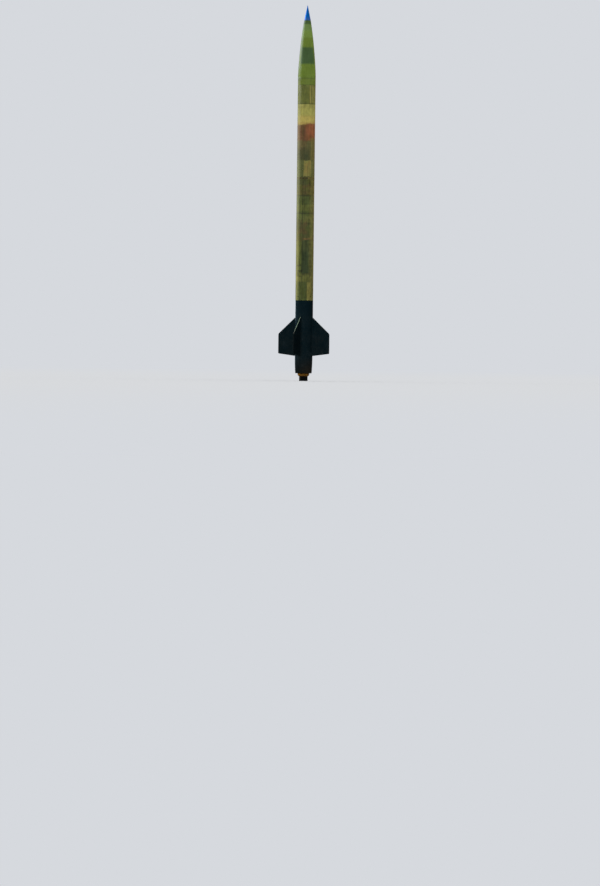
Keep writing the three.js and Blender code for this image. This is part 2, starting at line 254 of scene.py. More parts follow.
def new_tree(name, kind, inputs, outputs):
    """A new node tree with named sockets, as (graph, input node's sockets, output node's sockets)."""
    tree = bpy.data.node_groups.new(name, kind)
    for label, socket_type, default in inputs:
        socket = tree.interface.new_socket(name=label, in_out="INPUT", socket_type=socket_type)
        if default is not None:
            socket.default_value = default
    for label, socket_type in outputs:
        tree.interface.new_socket(name=label, in_out="OUTPUT", socket_type=socket_type)
    graph = Graph(tree)
    return graph, graph.node("NodeGroupInput").outputs, graph.node("NodeGroupOutput").inputs


def finish_tree(graph, last, given, out):
    """The end of a geometry tree: instances made real, and the material set."""
    real = graph.node("GeometryNodeRealizeInstances", {"Geometry": last.outputs[0]})
    dressed = {"Geometry": real.outputs[0], "Material": given["Material"]}
    graph.set(out["Geometry"], graph.node("GeometryNodeSetMaterial", dressed).outputs[0])


def make_unrolled_group():
    """Angle round the rocket from the photographed side, height, and distance from the axis."""
    graph, given, out = new_tree(
        "Unrolled skin", "ShaderNodeTree",
        [("Position", VECTOR, None)],
        [("Angle", NUMBER), ("Height", NUMBER), ("Around", NUMBER), ("Radius", NUMBER)],
    )
    turn = graph.node(
        "ShaderNodeVectorRotate",
        {"Vector": given["Position"], "Angle": -VIEW_AZIMUTH},
        rotation_type="Z_AXIS",
    )
    parts = graph.node("ShaderNodeSeparateXYZ", {"Vector": turn.outputs[0]})
    across, depth = parts.outputs["X"], parts.outputs["Y"]
    angle = graph.math("ARCTAN2", across, graph.times(depth, -1.0))
    squares = graph.plus(graph.math("POWER", across, 2.0), graph.math("POWER", depth, 2.0))
    graph.set(out["Angle"], angle)
    graph.set(out["Height"], parts.outputs["Z"])
    graph.set(out["Around"], graph.times(angle, TUBE_RADIUS))
    graph.set(out["Radius"], graph.math("SQRT", squares))
    return graph.tree


def make_winding_group():
    """Crossed helical rovings of a wound tube: their relief, and the glint where they cross. Count is how
    many lie side by side round the tube, and Lay is how far they turn for each step up."""
    graph, given, out = new_tree(
        "Wound rovings", "ShaderNodeTree",
        [("Angle", NUMBER, 0.0), ("Height", NUMBER, 0.0), ("Count", NUMBER, 24.0), ("Lay", NUMBER, 1.4)],
        [("Relief", NUMBER), ("Glint", NUMBER)],
    )
    turns = graph.times(given["Angle"], given["Count"])
    per_metre = graph.times(given["Count"], 1 / TUBE_RADIUS)
    rise = graph.times(given["Height"], graph.times(given["Lay"], per_metre))
    right_hand = graph.math("SINE", graph.plus(turns, rise))
    left_hand = graph.math("SINE", graph.minus(turns, rise))
    graph.set(out["Relief"], graph.ramp(graph.math("MAXIMUM", right_hand, left_hand), -1.0, 1.0))
    graph.set(out["Glint"], graph.ramp(graph.times(right_hand, left_hand), 0.1, 1.0))
    return graph.tree


def make_shade_group():
    """Stretch of the skin where something behind the wall shows through; some uses are painted light and
    painted shade on one side. Torn, Fray and Clouds are noises from -1 to 1 that roughen its ends, its sides
    and its inside."""
    graph, given, out = new_tree(
        "Shade through the wall", "ShaderNodeTree",
        [
            ("Angle", NUMBER, 0.0), ("Height", NUMBER, 0.0),
            ("Torn", NUMBER, 0.0), ("Fray", NUMBER, 0.0), ("Clouds", NUMBER, 0.0),
            ("Bottom", NUMBER, 0.0), ("Top", NUMBER, 1.0), ("Soft", NUMBER, 0.01),
            ("Centre", NUMBER, 0.0), ("Half width", NUMBER, 4.0), ("Blur", NUMBER, 0.06),
            ("Ragged", NUMBER, 0.0), ("Slant", NUMBER, 0.0), ("Mottle", NUMBER, 0.0),
        ],
        [("Mask", NUMBER)],
    )

    def within(value, edge, softness):
        return graph.ramp(value, graph.minus(edge, softness), graph.plus(edge, softness), 1.0, 0.0)

    height = graph.plus(given["Height"], graph.times(given["Torn"], given["Ragged"]))
    height = graph.minus(height, graph.times(graph.math("SINE", given["Angle"]), given["Slant"]))
    above = graph.minus(1.0, within(height, given["Bottom"], given["Soft"]))
    below = within(height, given["Top"], given["Soft"])
    aside = graph.math("ABSOLUTE", graph.minus(given["Angle"], given["Centre"]))
    aside = graph.plus(aside, graph.times(given["Fray"], given["Blur"]))
    mask = graph.times(above, below, within(aside, given["Half width"], given["Blur"]))
    patchy = graph.times(given["Mottle"], graph.ramp(given["Clouds"], -0.4, 0.4))
    graph.set(out["Mask"], graph.times(mask, graph.minus(1.0, patchy)))
    return graph.tree


def make_weave_group():
    """Two-by-two twill of flat tows: its relief, and which tows run across."""
    graph, given, out = new_tree(
        "Twill weave", "ShaderNodeTree",
        [("Across", NUMBER, 0.0), ("Along", NUMBER, 0.0), ("Tow", NUMBER, 2.0 * MM)],
        [("Relief", NUMBER), ("Warp", NUMBER)],
    )
    column = graph.math("DIVIDE", given["Across"], given["Tow"])
    row = graph.math("DIVIDE", given["Along"], given["Tow"])
    steps = graph.plus(graph.math("FLOOR", column), graph.math("FLOOR", row))
    repeat, last_over = 4.0, 1.5
    warp = graph.math("LESS_THAN", graph.math("FLOORED_MODULO", steps, repeat), last_over)
    crown_across = graph.math("ABSOLUTE", graph.math("SINE", graph.times(column, math.pi)))
    crown_along = graph.math("ABSOLUTE", graph.math("SINE", graph.times(row, math.pi)))
    relief = graph.ramp(warp, 0.0, 1.0, crown_along, crown_across, smooth=False)
    graph.set(out["Relief"], relief)
    graph.set(out["Warp"], warp)
    return graph.tree


def make_turning_group():
    """Fine tool marks of turned metal, round the sides and round the end faces."""
    graph, given, out = new_tree(
        "Tool marks", "ShaderNodeTree",
        [("Height", NUMBER, 0.0), ("Radius", NUMBER, 0.0), ("Pitch", NUMBER, 0.4 * MM)],
        [("Relief", NUMBER), ("Bands", NUMBER)],
    )
    along = graph.plus(given["Height"], given["Radius"])
    marks = graph.math("SINE", graph.times(graph.math("DIVIDE", along, given["Pitch"]), TAU))
    spot = graph.node("ShaderNodeCombineXYZ", {"X": given["Height"], "Y": given["Radius"]})
    graph.set(out["Relief"], graph.ramp(marks, -1.0, 1.0))
    graph.set(out["Bands"], graph.noise(spot.outputs[0], 900.0))
    return graph.tree


def make_dust_group():
    """Patchy dust that gathers low on the rocket."""
    graph, given, out = new_tree(
        "Dust", "ShaderNodeTree",
        [("Position", VECTOR, None), ("Height", NUMBER, 0.0), ("Amount", NUMBER, 0.3)],
        [("Mask", NUMBER)],
    )
    clouds = graph.noise(given["Position"], 9.0, detail=5.0, roughness=0.65)
    specks = graph.noise(given["Position"], 160.0, detail=2.0)
    settled_up_to, least = 1.1, 0.25
    low_down = graph.ramp(given["Height"], 0.0, settled_up_to, 1.0, least)
    cloudy = graph.ramp(graph.times(clouds, low_down), 0.15, 0.75)
    spotted = graph.times(cloudy, graph.ramp(specks, 0.35, 0.7))
    graph.set(out["Mask"], graph.math("MULTIPLY", spotted, given["Amount"], clamp=True))
    return graph.tree


def make_scuff_group():
    """Short fine scratches that run every way, from handling."""
    graph, given, out = new_tree(
        "Scuffs", "ShaderNodeTree",
        [("Position", VECTOR, None), ("Amount", NUMBER, 0.3)],
        [("Mask", NUMBER)],
    )
    level, width = 0.5, 0.012
    lines = []
    for stretch in ((260.0, 30.0, 14.0), (24.0, 240.0, 30.0), (60.0, 60.0, 420.0)):
        drawn = graph.noise(graph.stretched(given["Position"], stretch), 1.0, detail=2.0)
        off_line = graph.math("ABSOLUTE", graph.minus(drawn, level))
        lines.append(graph.ramp(off_line, 0.0, width, 1.0, 0.0))
    rubbed = graph.ramp(graph.noise(given["Position"], 14.0), 0.52, 0.68)
    graph.set(out["Mask"], graph.times(graph.chain("MAXIMUM", *lines), rubbed, given["Amount"]))
    return graph.tree


UNROLLED = make_unrolled_group()
WINDING = make_winding_group()
SHADE = make_shade_group()
WEAVE = make_weave_group()
TURNING = make_turning_group()
DUST = make_dust_group()
SCUFFS = make_scuff_group()


# Materials

class Finish:
    """One material: its graph, its shader, and the skin coordinates that most effects read."""

    def __init__(self, name, **shader_values):
        self.material = bpy.data.materials.new(name)
        self.material.use_nodes = True
        tree = self.material.node_tree
        tree.nodes.clear()
        self.graph = Graph(tree)
        self.shader = self.graph.node("ShaderNodeBsdfPrincipled")
        for label, value in shader_values.items():
            self.shader.inputs[label.replace("_", " ")].default_value = value
        output = self.graph.node("ShaderNodeOutputMaterial")
        tree.links.new(self.shader.outputs["BSDF"], output.inputs["Surface"])
        self.position = self.graph.node("ShaderNodeTexCoord").outputs["Object"]
        skin = self.graph.use(UNROLLED, Position=self.position)
        self.angle = skin.outputs["Angle"]
        self.height = skin.outputs["Height"]
        self.around = skin.outputs["Around"]
        self.radius = skin.outputs["Radius"]

    def feed(self, label, value):
        self.graph.set(self.shader.inputs[label], value)

    def dusted(self, base, amount):
        mask = self.graph.use(DUST, Position=self.position, Height=self.height, Amount=amount)
        return self.graph.blend(mask.outputs["Mask"], base, DUST_TONE)

    def scuffed(self, base, amount, tone):
        mask = self.graph.use(SCUFFS, Position=self.position, Amount=amount)
        return self.graph.blend(mask.outputs["Mask"], base, tone)

    def material_with(self, base, roughness, relief, depth, strength):
        """The material, with its colour, its roughness and a relief from 0 to 1 of that depth in metres."""
        self.feed("Base Color", base)
        self.feed("Roughness", roughness)
        bump = {"Height": relief, "Distance": depth, "Strength": strength}
        self.feed("Normal", self.graph.node("ShaderNodeBump", bump).outputs["Normal"])
        return self.material


# Tones of the bare glass fibre, alone and with something behind it, and tones laid on one side as painted
# light and painted shade
TONES = {
    "bare": colour(83, 93, 33),
    "nose": colour(109, 133, 36),
    "nose top": colour(119, 147, 56),
    "under point": colour(113, 145, 82),
    "green board": colour(69, 98, 48),
    "lining": colour(88, 86, 22),
    "sleeve": colour(107, 113, 40),
    "bay": colour(94, 100, 46),
    "sunned": colour(133, 127, 56),
    # Painted light: a warmer, lighter tone that the shades lay on the tube's right side
    "painted side light": colour(118, 106, 46),
    "pale": colour(172, 167, 80),
    "straw": colour(184, 166, 78),
    "cloth": colour(112, 73, 38),
    "rust": colour(151, 84, 40),
    "packing": colour(60, 74, 36),
    "dim": colour(82, 82, 42),
    "band": colour(80, 75, 26),
    "orange": colour(156, 100, 52),
    "line": colour(46, 52, 28),
    "coupler": colour(112, 116, 66),
}
DUST_TONE = colour(150, 140, 118)
LAMINATE_WEFT = colour(2, 11, 15)
LAMINATE_WARP = colour(4, 17, 22)
LAMINATE_SCRATCH = colour(60, 70, 74)
STAIN_DARK = colour(5, 7, 6)
# Painted warm light from the motor's flame, laid on one side of the tail
FLAME_GLOW_BROWN = colour(25, 19, 12)
BOARD_SCRATCH = colour(176, 182, 140)
CORE_DARK_TONE = colour(16, 26, 28)
RUBBED_BLUE = colour(106, 128, 196)
SOOT = colour(17, 16, 16)
GRAPHITE_DARK = colour(38, 38, 41)
GRAPHITE_GREY = colour(58, 58, 61)
GRAPHITE_BURNT = colour(118, 110, 100)
ZINC_BRIGHT = colour(170, 174, 178)
ZINC_YELLOW = colour(190, 186, 168)
ZINC_SCRATCH = colour(96, 96, 98)
PLASTIC_SCRATCH = colour(96, 98, 100)
ALL_ROUND = 200


def shade(bottom, top, tone, strength=1.0, ends=4, centre=0, half_width=ALL_ROUND, blur=4, ragged=0,
          slant=0, mottle=0.0):
    """What shows through a stretch of wall; some rows are painted light and painted shade on one side
    instead. Heights, softness of its ends, raggedness and slant are in mm; its middle, half-width and
    softness of its sides are in degrees round from the photographed side."""
    place = {
        "Bottom": bottom * MM, "Top": top * MM, "Soft": ends * MM,
        "Centre": math.radians(centre), "Half_width": math.radians(half_width),
        "Blur": math.radians(blur), "Ragged": ragged * MM, "Slant": slant * MM, "Mottle": mottle,
    }
    return place, TONES[tone], strength


NOSE_SHADES = [
    shade(3035, 3112, "nose top", 1.0, ends=10),
    shade(3100, 3170, "under point", 0.6, ends=20),
    shade(3157, 3200, "green board", 0.85, ends=6),
    shade(2804, 2951, "green board", 1.0, ends=11, centre=5, half_width=56, blur=10),
    shade(2804, 2951, "green board", 0.95, ends=11, centre=150, half_width=26),
    shade(2600, 2677, "sleeve", 0.35, ends=4),
    shade(2671, 2683, "line", 0.3, ends=4),
    # Painted shade on the collar's left side
    shade(2624, 2672, "line", 0.25, ends=6, centre=-68, half_width=22, blur=12),
    shade(2613, 2621, "line", 0.5, ends=3, ragged=2),
]
PAYLOAD_SHADES = [
    shade(2446, 2640, "sleeve", ends=3),
    shade(2446, 2620, "sunned", 0.55, centre=58, half_width=42, blur=5, mottle=0.2),
    shade(2426, 2620, "packing", 0.35, ends=12, centre=-16, half_width=26, blur=16, mottle=0.9),
    shade(2452, 2616, "straw", 0.35, ends=10, centre=26, half_width=3, blur=3, ragged=8),
    shade(2452, 2616, "line", 0.45, ends=10, centre=34, half_width=1.5, blur=2, ragged=8),
    shade(2452, 2616, "straw", 0.3, ends=10, centre=43, half_width=3, blur=3, ragged=8),
    shade(2446, 2458, "line", 0.3, ends=3, ragged=2),
    shade(2320, 2446, "pale", ends=3),
    shade(2410, 2446, "sunned", 0.4, ends=16),
    shade(2262, 2346, "straw", ends=16),
    # Painted shade on the left and right sides of the pale stretch, in this row and the next
    shade(2262, 2446, "bay", 0.5, ends=3, centre=-78, half_width=32, blur=16),
    shade(2262, 2446, "sunned", 0.3, ends=3, centre=76, half_width=40, blur=14),
    shade(2262, 2290, "orange", 0.25, ends=12, centre=-30, half_width=60, blur=16),
    shade(2120, 2271, "cloth", ends=9, ragged=7, slant=9, mottle=0.15),
    shade(2143, 2272, "packing", 0.3, centre=-24, half_width=5, blur=8, mottle=0.3),
    shade(2118, 2272, "rust", 0.95, ends=26, centre=50, half_width=50, blur=24, ragged=24, slant=7,
          mottle=0.4),
    shade(1951, 2124, "dim", ends=16, ragged=16),
    shade(2060, 2120, "sunned", 0.3, ends=10, ragged=16, mottle=0.4),
    shade(2040, 2150, "cloth", 0.35, ends=20, ragged=12, centre=-32, half_width=48, blur=20, mottle=0.7),
    shade(1954, 2082, "packing", 0.6, ends=14, centre=8, half_width=24, blur=12, ragged=24, mottle=0.9),
    # Painted shade on the lit left side
    shade(1954, 2110, "line", 0.35, ends=16, centre=-62, half_width=26, blur=12, ragged=8, mottle=0.5),
    shade(1954, 2050, "sunned", 0.2, ends=20, centre=44, half_width=20, blur=14, ragged=14, mottle=0.5),
    shade(1780, 1951, "bay"),
    # Painted light on the right side, in this row and the next
    shade(1951, 2150, "painted side light", 0.7, ends=10, centre=62, half_width=30, blur=14),
    shade(1780, 1951, "painted side light", 0.45, centre=66, half_width=28, blur=14),
    shade(1808, 1952, "sunned", 0.95, ends=3, centre=12, half_width=26, blur=4, ragged=12, slant=-6,
          mottle=0.1),
    shade(1803, 1812, "line", 0.6, ends=3, centre=8, half_width=36, blur=6, ragged=5, mottle=0.6),
    shade(1808, 1950, "rust", 0.2, ends=6, centre=14, half_width=22, blur=8, ragged=12, mottle=1.0),
    shade(1806, 1949, "sunned", 0.7, ends=3, centre=-146, half_width=22, blur=3, ragged=7, mottle=0.15),
    # A thin dark line down the tube, about 19 degrees left of the middle
    shade(1780, 1951, "line", 0.6, centre=-19.5, half_width=1.4, blur=2, mottle=0.3),
]
BOOSTER_SHADES = [
    shade(1640, 1800, "lining", 0.8),
    shade(1732, 1800, "packing", 0.4, ends=12, centre=-40, half_width=56, blur=24, ragged=8),
    shade(1642, 1740, "cloth", 0.45, ends=16, centre=10, half_width=46, blur=20, ragged=24, mottle=0.9),
    shade(1642, 1790, "packing", 0.3, ends=12, centre=-2, half_width=16, blur=16, ragged=10, mottle=0.9),
    shade(1632, 1646, "line", 0.65, ends=4, ragged=3, mottle=0.3),
    shade(1479, 1488, "line", 0.6, ends=3, ragged=2),
    shade(1404, 1460, "sunned", 0.26, ends=8, centre=20, half_width=50, blur=20, ragged=8, mottle=0.4),
    shade(1504, 1560, "sunned", 0.15, ends=6),
    shade(1562, 1632, "packing", 0.32, ends=6, centre=44, half_width=56, blur=14),
    shade(1240, 1404, "packing", 0.52, ends=8, centre=-24, half_width=54, blur=16, ragged=10, mottle=0.4),
    shade(1290, 1420, "cloth", 0.42, ends=20, centre=-24, half_width=42, blur=14, ragged=24, mottle=0.8),
    # Painted shade on the lit left side
    shade(1336, 1446, "line", 0.32, ends=16, centre=-52, half_width=30, blur=16, ragged=10, mottle=0.4),
    shade(1236, 1283, "cloth", 0.2, ends=6, ragged=4),
    shade(1253, 1259, "orange", 0.6, ends=2, centre=11, half_width=28, ragged=1.5),
    shade(952, 1244, "packing", 0.85, ends=5, centre=22, half_width=22, blur=18, ragged=2, mottle=0.3),
    shade(952, 1244, "packing", 1.0, ends=5, centre=0, half_width=22, blur=5, ragged=2, slant=20),
    shade(1150, 1246, "sunned", 0.12, ends=30),
    shade(1017, 1029, "line", 0.95, ends=4, centre=-46, half_width=22, blur=6, ragged=5),
    shade(966, 984, "line", 0.9, ends=4, centre=-36, half_width=22, blur=6, ragged=8),
    shade(876, 952, "sunned", 0.3),
    # Painted light: a lighter, yellower tone on the lit left side
    shade(820, 1250, "sunned", 0.2, ends=20, centre=-60, half_width=20, blur=14),
    shade(922, 954, "line", 0.75, ends=5, centre=0, half_width=60, blur=10, ragged=12, mottle=1.0),
    shade(873, 880, "line", 0.4, ends=2, ragged=2),
    shade(700, 874, "packing", 0.65, ends=3, centre=-38, half_width=8, blur=6, mottle=0.3),
    shade(700, 874, "packing", 0.35, ends=3, centre=2, half_width=6, blur=3, mottle=0.3),
    shade(700, 874, "sunned", 0.95, ends=3, centre=32, half_width=17, blur=3, mottle=0.1),
    shade(700, 874, "sunned", 0.4, ends=3, centre=-150, half_width=16, blur=3),
    # Painted light on the right side
    shade(700, 1800, "painted side light", 0.45, centre=62, half_width=30, blur=14),
    # A thin dark line down the tube, about 18 degrees left of the middle
    shade(720, 1778, "line", 0.8, centre=-17.5, half_width=1.5, blur=2, mottle=0.3),
    shade(720, 952, "line", 0.5, centre=14, half_width=1.2, blur=1.5, mottle=0.3),
]
# Painted light on the right side of the band
BAND_SHADES = [shade(1700, 1900, "painted side light", 0.6, centre=46, half_width=38, blur=10)]


def glass_fibre(name, tone, shades=(), rough=0.36, uneven=1.0):
    """Wound glass fibre in clear resin, tinted by what lies behind its wall and by painted light and painted
    shade on its sides.
    """
    finish = Finish(name, Coat_Roughness=0.3, Specular_IOR_Level=0.5)
    graph = finish.graph
    rovings, fine_rovings, lay = 18.0, 72.0, 1.43
    coarse = graph.use(WINDING, Angle=finish.angle, Height=finish.height, Count=rovings, Lay=lay).outputs
    fine = graph.use(WINDING, Angle=finish.angle, Height=finish.height, Count=fine_rovings, Lay=lay).outputs
    base = TONES[tone]
    noises = {}
    if shades:
        for label, stretch in (("Torn", (34, 34, 34)), ("Fray", (80, 80, 7)), ("Clouds", (30, 30, 17))):
            drawn = graph.noise(graph.stretched(finish.position, stretch), 1.0, detail=4.0, roughness=0.6)
            noises[label] = graph.ramp(drawn, 0.25, 0.75, -1.0, 1.0, smooth=False)
    for place, through, strength in shades:
        patch = graph.use(SHADE, Angle=finish.angle, Height=finish.height, **noises, **place)
        base = graph.blend(graph.times(patch.outputs["Mask"], strength), base, through)
    along_tube = graph.stretched(finish.position, (1.0, 1.0, 0.08))
    streaks = graph.noise(along_tube, 75.0, detail=4.0, roughness=0.6)
    clouds = graph.noise(finish.position, 11.0, detail=4.0)
    blotches = graph.noise(finish.position, 42.0)
    streaky, cloudy, blotchy, glinting, ribbed = 0.19 * uneven, 0.08, 0.15 * uneven, 0.1, 0.06
    light = graph.plus(
        graph.spread(streaks, 1 - streaky, 1 + streaky), graph.spread(clouds, -cloudy, cloudy),
        graph.spread(blotches, -blotchy, blotchy), graph.times(coarse["Glint"], glinting),
    )
    light = graph.minus(light, graph.times(fine["Relief"], ribbed))
    base = finish.dusted(graph.brightened(base, light), 0.1)
    roughness = graph.spread(clouds, rough - 0.06, rough + 0.08, smooth=True)
    finish.feed("Coat Weight", graph.ramp(streaks, 0.35, 0.65, 0.2, 0.45))
    relief = graph.plus(graph.times(coarse["Relief"], 0.6), graph.times(fine["Relief"], 0.4))
    return finish.material_with(base, roughness, relief, 0.12 * MM, 0.6)


def black_laminate(name, across="around", lit=(0.88, 1.14), scuffs=0.25, soot_and_flame_glow=0.0):
    """Black woven laminate in clear resin, rubbed and a little dusty. A piece given soot and flame glow is
    darkened near the motor end by soot on one side and a painted warm flame light in brown on the other."""
    finish = Finish(name, Coat_Roughness=0.3, IOR=1.08, Specular_IOR_Level=0.4)
    graph = finish.graph
    weave = graph.use(WEAVE, Across=getattr(finish, across), Along=finish.height, Tow=2.2 * MM).outputs
    base = graph.blend(weave["Warp"], LAMINATE_WEFT, LAMINATE_WARP)
    clouds = graph.noise(finish.position, 13.0, detail=4.0)
    base = graph.brightened(base, graph.spread(clouds, *lit))
    base = finish.scuffed(base, scuffs, LAMINATE_SCRATCH)
    roughness = graph.spread(clouds, 0.38, 0.52, smooth=True)
    if soot_and_flame_glow:
        # Near the motor end: dark soot on the left, and painted warm flame light in brown on the right
        most_below, none_above = 70 * MM, 210 * MM
        low_down = graph.ramp(finish.height, most_below, none_above, soot_and_flame_glow, 0.0, smooth=False)
        soot_and_glow = graph.times(low_down, graph.spread(clouds, 0.8, 1.15))
        side = graph.ramp(graph.math("SINE", finish.angle), -0.8, 0.85, smooth=False)
        base = graph.blend(soot_and_glow, base, graph.blend(side, STAIN_DARK, FLAME_GLOW_BROWN))
        roughness = graph.plus(roughness, graph.times(soot_and_glow, 0.14))
    base = finish.dusted(base, 0.025)
    finish.feed("Coat Weight", graph.ramp(clouds, 0.35, 0.65, 0.0, 0.05))
    return finish.material_with(base, roughness, weave["Relief"], 0.12 * MM, 0.5)


def glass_board(name, first, second, dark_below=None):
    """Pressed glass fibre board: pale green, with the cloth showing and a machined rim. A board given a
    height is near black below it, fading out above, and partly near black again higher up."""
    finish = Finish(name, Specular_IOR_Level=0.35)
    graph = finish.graph
    parts = graph.node("ShaderNodeSeparateXYZ", {"Vector": finish.position}).outputs
    weave = graph.use(WEAVE, Across=parts["X"], Along=parts["Y"], Tow=1.1 * MM).outputs
    base = graph.blend(weave["Warp"], first, second)
    plies = graph.noise(graph.stretched(finish.position, (3.0, 3.0, 900.0)), 1.0, detail=2.0)
    base = graph.brightened(base, graph.spread(plies, 0.86, 1.1))
    base = finish.scuffed(base, 0.3, BOARD_SCRATCH)
    # Darker towards the fin's tip edge: near black below the given height, and partly higher up
    if dark_below:
        uneven = 8 * MM
        ragged_height = graph.plus(finish.height, graph.spread(plies, -uneven, uneven))
        clean_from, again_from, again_full, again_share = (
            dark_below + 82 * MM, dark_below + 108 * MM, dark_below + 140 * MM, 0.5)
        below = graph.ramp(ragged_height, dark_below, clean_from, 1.0, 0.0)
        higher_up = graph.ramp(ragged_height, again_from, again_full, 0.0, again_share)
        base = graph.blend(graph.math("MAXIMUM", below, higher_up), base, CORE_DARK_TONE)
    roughness = graph.spread(plies, 0.5, 0.66, smooth=True)
    return finish.material_with(base, roughness, weave["Relief"], 0.06 * MM, 0.5)


def turned_metal(name, tone, worn_tone, rough, metallic=1.0, soot=0.0, wear=0.3, sheen=0.5, handled=None):
    """Metal turned on a lathe, coloured or plain, with tool marks, rubbed spots and some soot low down.
    Handled metal is rubbed paler for a few centimetres above the height given."""
    finish = Finish(name, Metallic=metallic, Specular_IOR_Level=sheen, Coat_Weight=0.0)
    graph = finish.graph
    marks = graph.use(TURNING, Height=finish.height, Radius=finish.radius, Pitch=0.4 * MM).outputs
    base = graph.brightened(tone, graph.spread(marks["Bands"], 0.86, 1.1))
    base = finish.scuffed(base, wear, worn_tone)
    roughness = graph.spread(marks["Bands"], rough - 0.05, rough + 0.08, smooth=True)
    if handled:
        rubbed_up_to = handled + 38 * MM
        base = graph.blend(graph.ramp(finish.height, handled, rubbed_up_to, 0.5, 0.0), base, RUBBED_BLUE)
    if soot:
        soot_top = 85 * MM
        clouds = graph.noise(finish.position, 60.0, detail=4.0, roughness=0.65)
        sooty = graph.times(graph.ramp(finish.height, 0.0, soot_top, soot, 0.0, smooth=False),
                            graph.spread(clouds, 0.35, 1.0, smooth=True))
        base = graph.blend(sooty, base, SOOT)
        roughness = graph.plus(roughness, graph.times(sooty, 0.4))
    return finish.material_with(base, roughness, marks["Relief"], 0.02 * MM, 0.5)


def machined_graphite(name):
    """Graphite: grey, dull, and burnt paler at its lower end."""
    finish = Finish(name, Specular_IOR_Level=0.35)
    graph = finish.graph
    marks = graph.use(TURNING, Height=finish.height, Radius=finish.radius, Pitch=0.7 * MM).outputs
    grain = graph.noise(finish.position, 700.0, roughness=0.7)
    burnt_top = 40 * MM
    burnt = graph.times(graph.ramp(finish.height, 0.0, burnt_top, 0.5, 0.0),
                        graph.noise(finish.position, 90.0, detail=4.0))
    base = graph.blend(graph.spread(grain, 0.0, 1.0, smooth=True), GRAPHITE_DARK, GRAPHITE_GREY)
    base = graph.blend(burnt, base, GRAPHITE_BURNT)
    roughness = graph.spread(grain, 0.5, 0.72, smooth=True)
    relief = graph.plus(graph.times(marks["Relief"], 0.5), graph.times(grain, 0.5))
    return finish.material_with(base, roughness, relief, 0.05 * MM, 0.6)


def plated_steel(name):
    """Zinc-plated steel with a faint yellow cast and handling marks."""
    finish = Finish(name, Metallic=1.0)
    graph = finish.graph
    blotches = graph.noise(finish.position, 120.0, detail=4.0)
    base = graph.blend(graph.ramp(blotches, 0.35, 0.65), ZINC_BRIGHT, ZINC_YELLOW)
    base = finish.scuffed(base, 0.4, ZINC_SCRATCH)
    roughness = graph.spread(blotches, 0.26, 0.42, smooth=True)
    relief = graph.noise(finish.position, 900.0, detail=2.0)
    return finish.material_with(base, roughness, relief, 0.02 * MM, 0.4)


def moulded_plastic(name, tone, rough):
    """Turned or moulded plastic with a fine grain and rubbed edges."""
    finish = Finish(name, Specular_IOR_Level=0.4)
    graph = finish.graph
    grain = graph.noise(finish.position, 1400.0)
    clouds = graph.noise(finish.position, 70.0)
    base = graph.brightened(tone, graph.spread(clouds, 0.85, 1.2))
    base = finish.scuffed(base, 0.4, PLASTIC_SCRATCH)
    roughness = graph.spread(grain, rough - 0.05, rough + 0.1, smooth=True)
    return finish.material_with(base, roughness, grain, 0.03 * MM, 0.5)


NOSE_GLASS = glass_fibre("nose_glass_fibre", "nose", NOSE_SHADES, rough=0.34, uneven=0.4)
PAYLOAD_GLASS = glass_fibre("payload_glass_fibre", "bare", PAYLOAD_SHADES)
BOOSTER_GLASS = glass_fibre("booster_glass_fibre", "bare", BOOSTER_SHADES, uneven=1.6)
BAND_GLASS = glass_fibre("band_glass_fibre", "band", BAND_SHADES)
COUPLER_GLASS = glass_fibre("coupler_glass_fibre", "coupler", rough=0.5)
TUBE_LAMINATE = black_laminate("black_tube_laminate")
# Painted shade: the fins take a darker copy of the tube's laminate
SHADED_FIN_LAMINATE = black_laminate("black_fin_laminate", across="radius", lit=(0.76, 0.9), scuffs=0.12)
TAIL_LAMINATE = black_laminate("black_tail_laminate", soot_and_flame_glow=0.85)
BOARD = glass_board("glass_fibre_board", colour(120, 132, 78), colour(134, 144, 90))
FIN_BOARD = glass_board("fin_core_board", colour(118, 150, 120), colour(134, 166, 134), FIN_TIP_LEAD)
BLUE_METAL = turned_metal("blue_anodised", colour(1, 121, 220), colour(60, 130, 200), rough=0.3,
                          metallic=0.5, wear=0.2, sheen=0.2, handled=TIP_BASE)
GOLD_METAL = turned_metal("gold_anodised", colour(214, 151, 62), colour(206, 176, 120), rough=0.34,
                          metallic=0.84, soot=0.4)
BLACK_METAL = turned_metal("black_anodised", colour(24, 27, 31), colour(96, 96, 96), rough=0.42,
                           metallic=0.6, soot=0.8)
CASE_METAL = turned_metal("plain_aluminium", colour(176, 180, 184), colour(120, 122, 124), rough=0.36)
GRAPHITE = machined_graphite("machined_graphite")
STEEL = plated_steel("plated_steel")
ACETAL = moulded_plastic("black_acetal", colour(22, 24, 27), rough=0.42)
PIN_NYLON = moulded_plastic("olive_nylon", colour(74, 78, 44), rough=0.45)


# Mesh making

class Shape:
    """Vertices and faces on the way to a piece."""

    def __init__(self, vertices=(), faces=()):
        self.vertices = [Vector(vertex) for vertex in vertices]
        self.faces = [list(face) for face in faces]

    def add(self, other):
        start = len(self.vertices)
        self.vertices += other.vertices
        self.faces += [[start + corner for corner in face] for face in other.faces]

    def placed(self, place):
        """A copy at another place."""
        return Shape([place @ vertex for vertex in self.vertices], self.faces)


def smooth(mesh):
    """Smooth shading across every edge that isn't sharp."""
    mesh.shade_smooth()
    mesh.set_sharp_from_angle(angle=math.radians(SHARP_ANGLE))


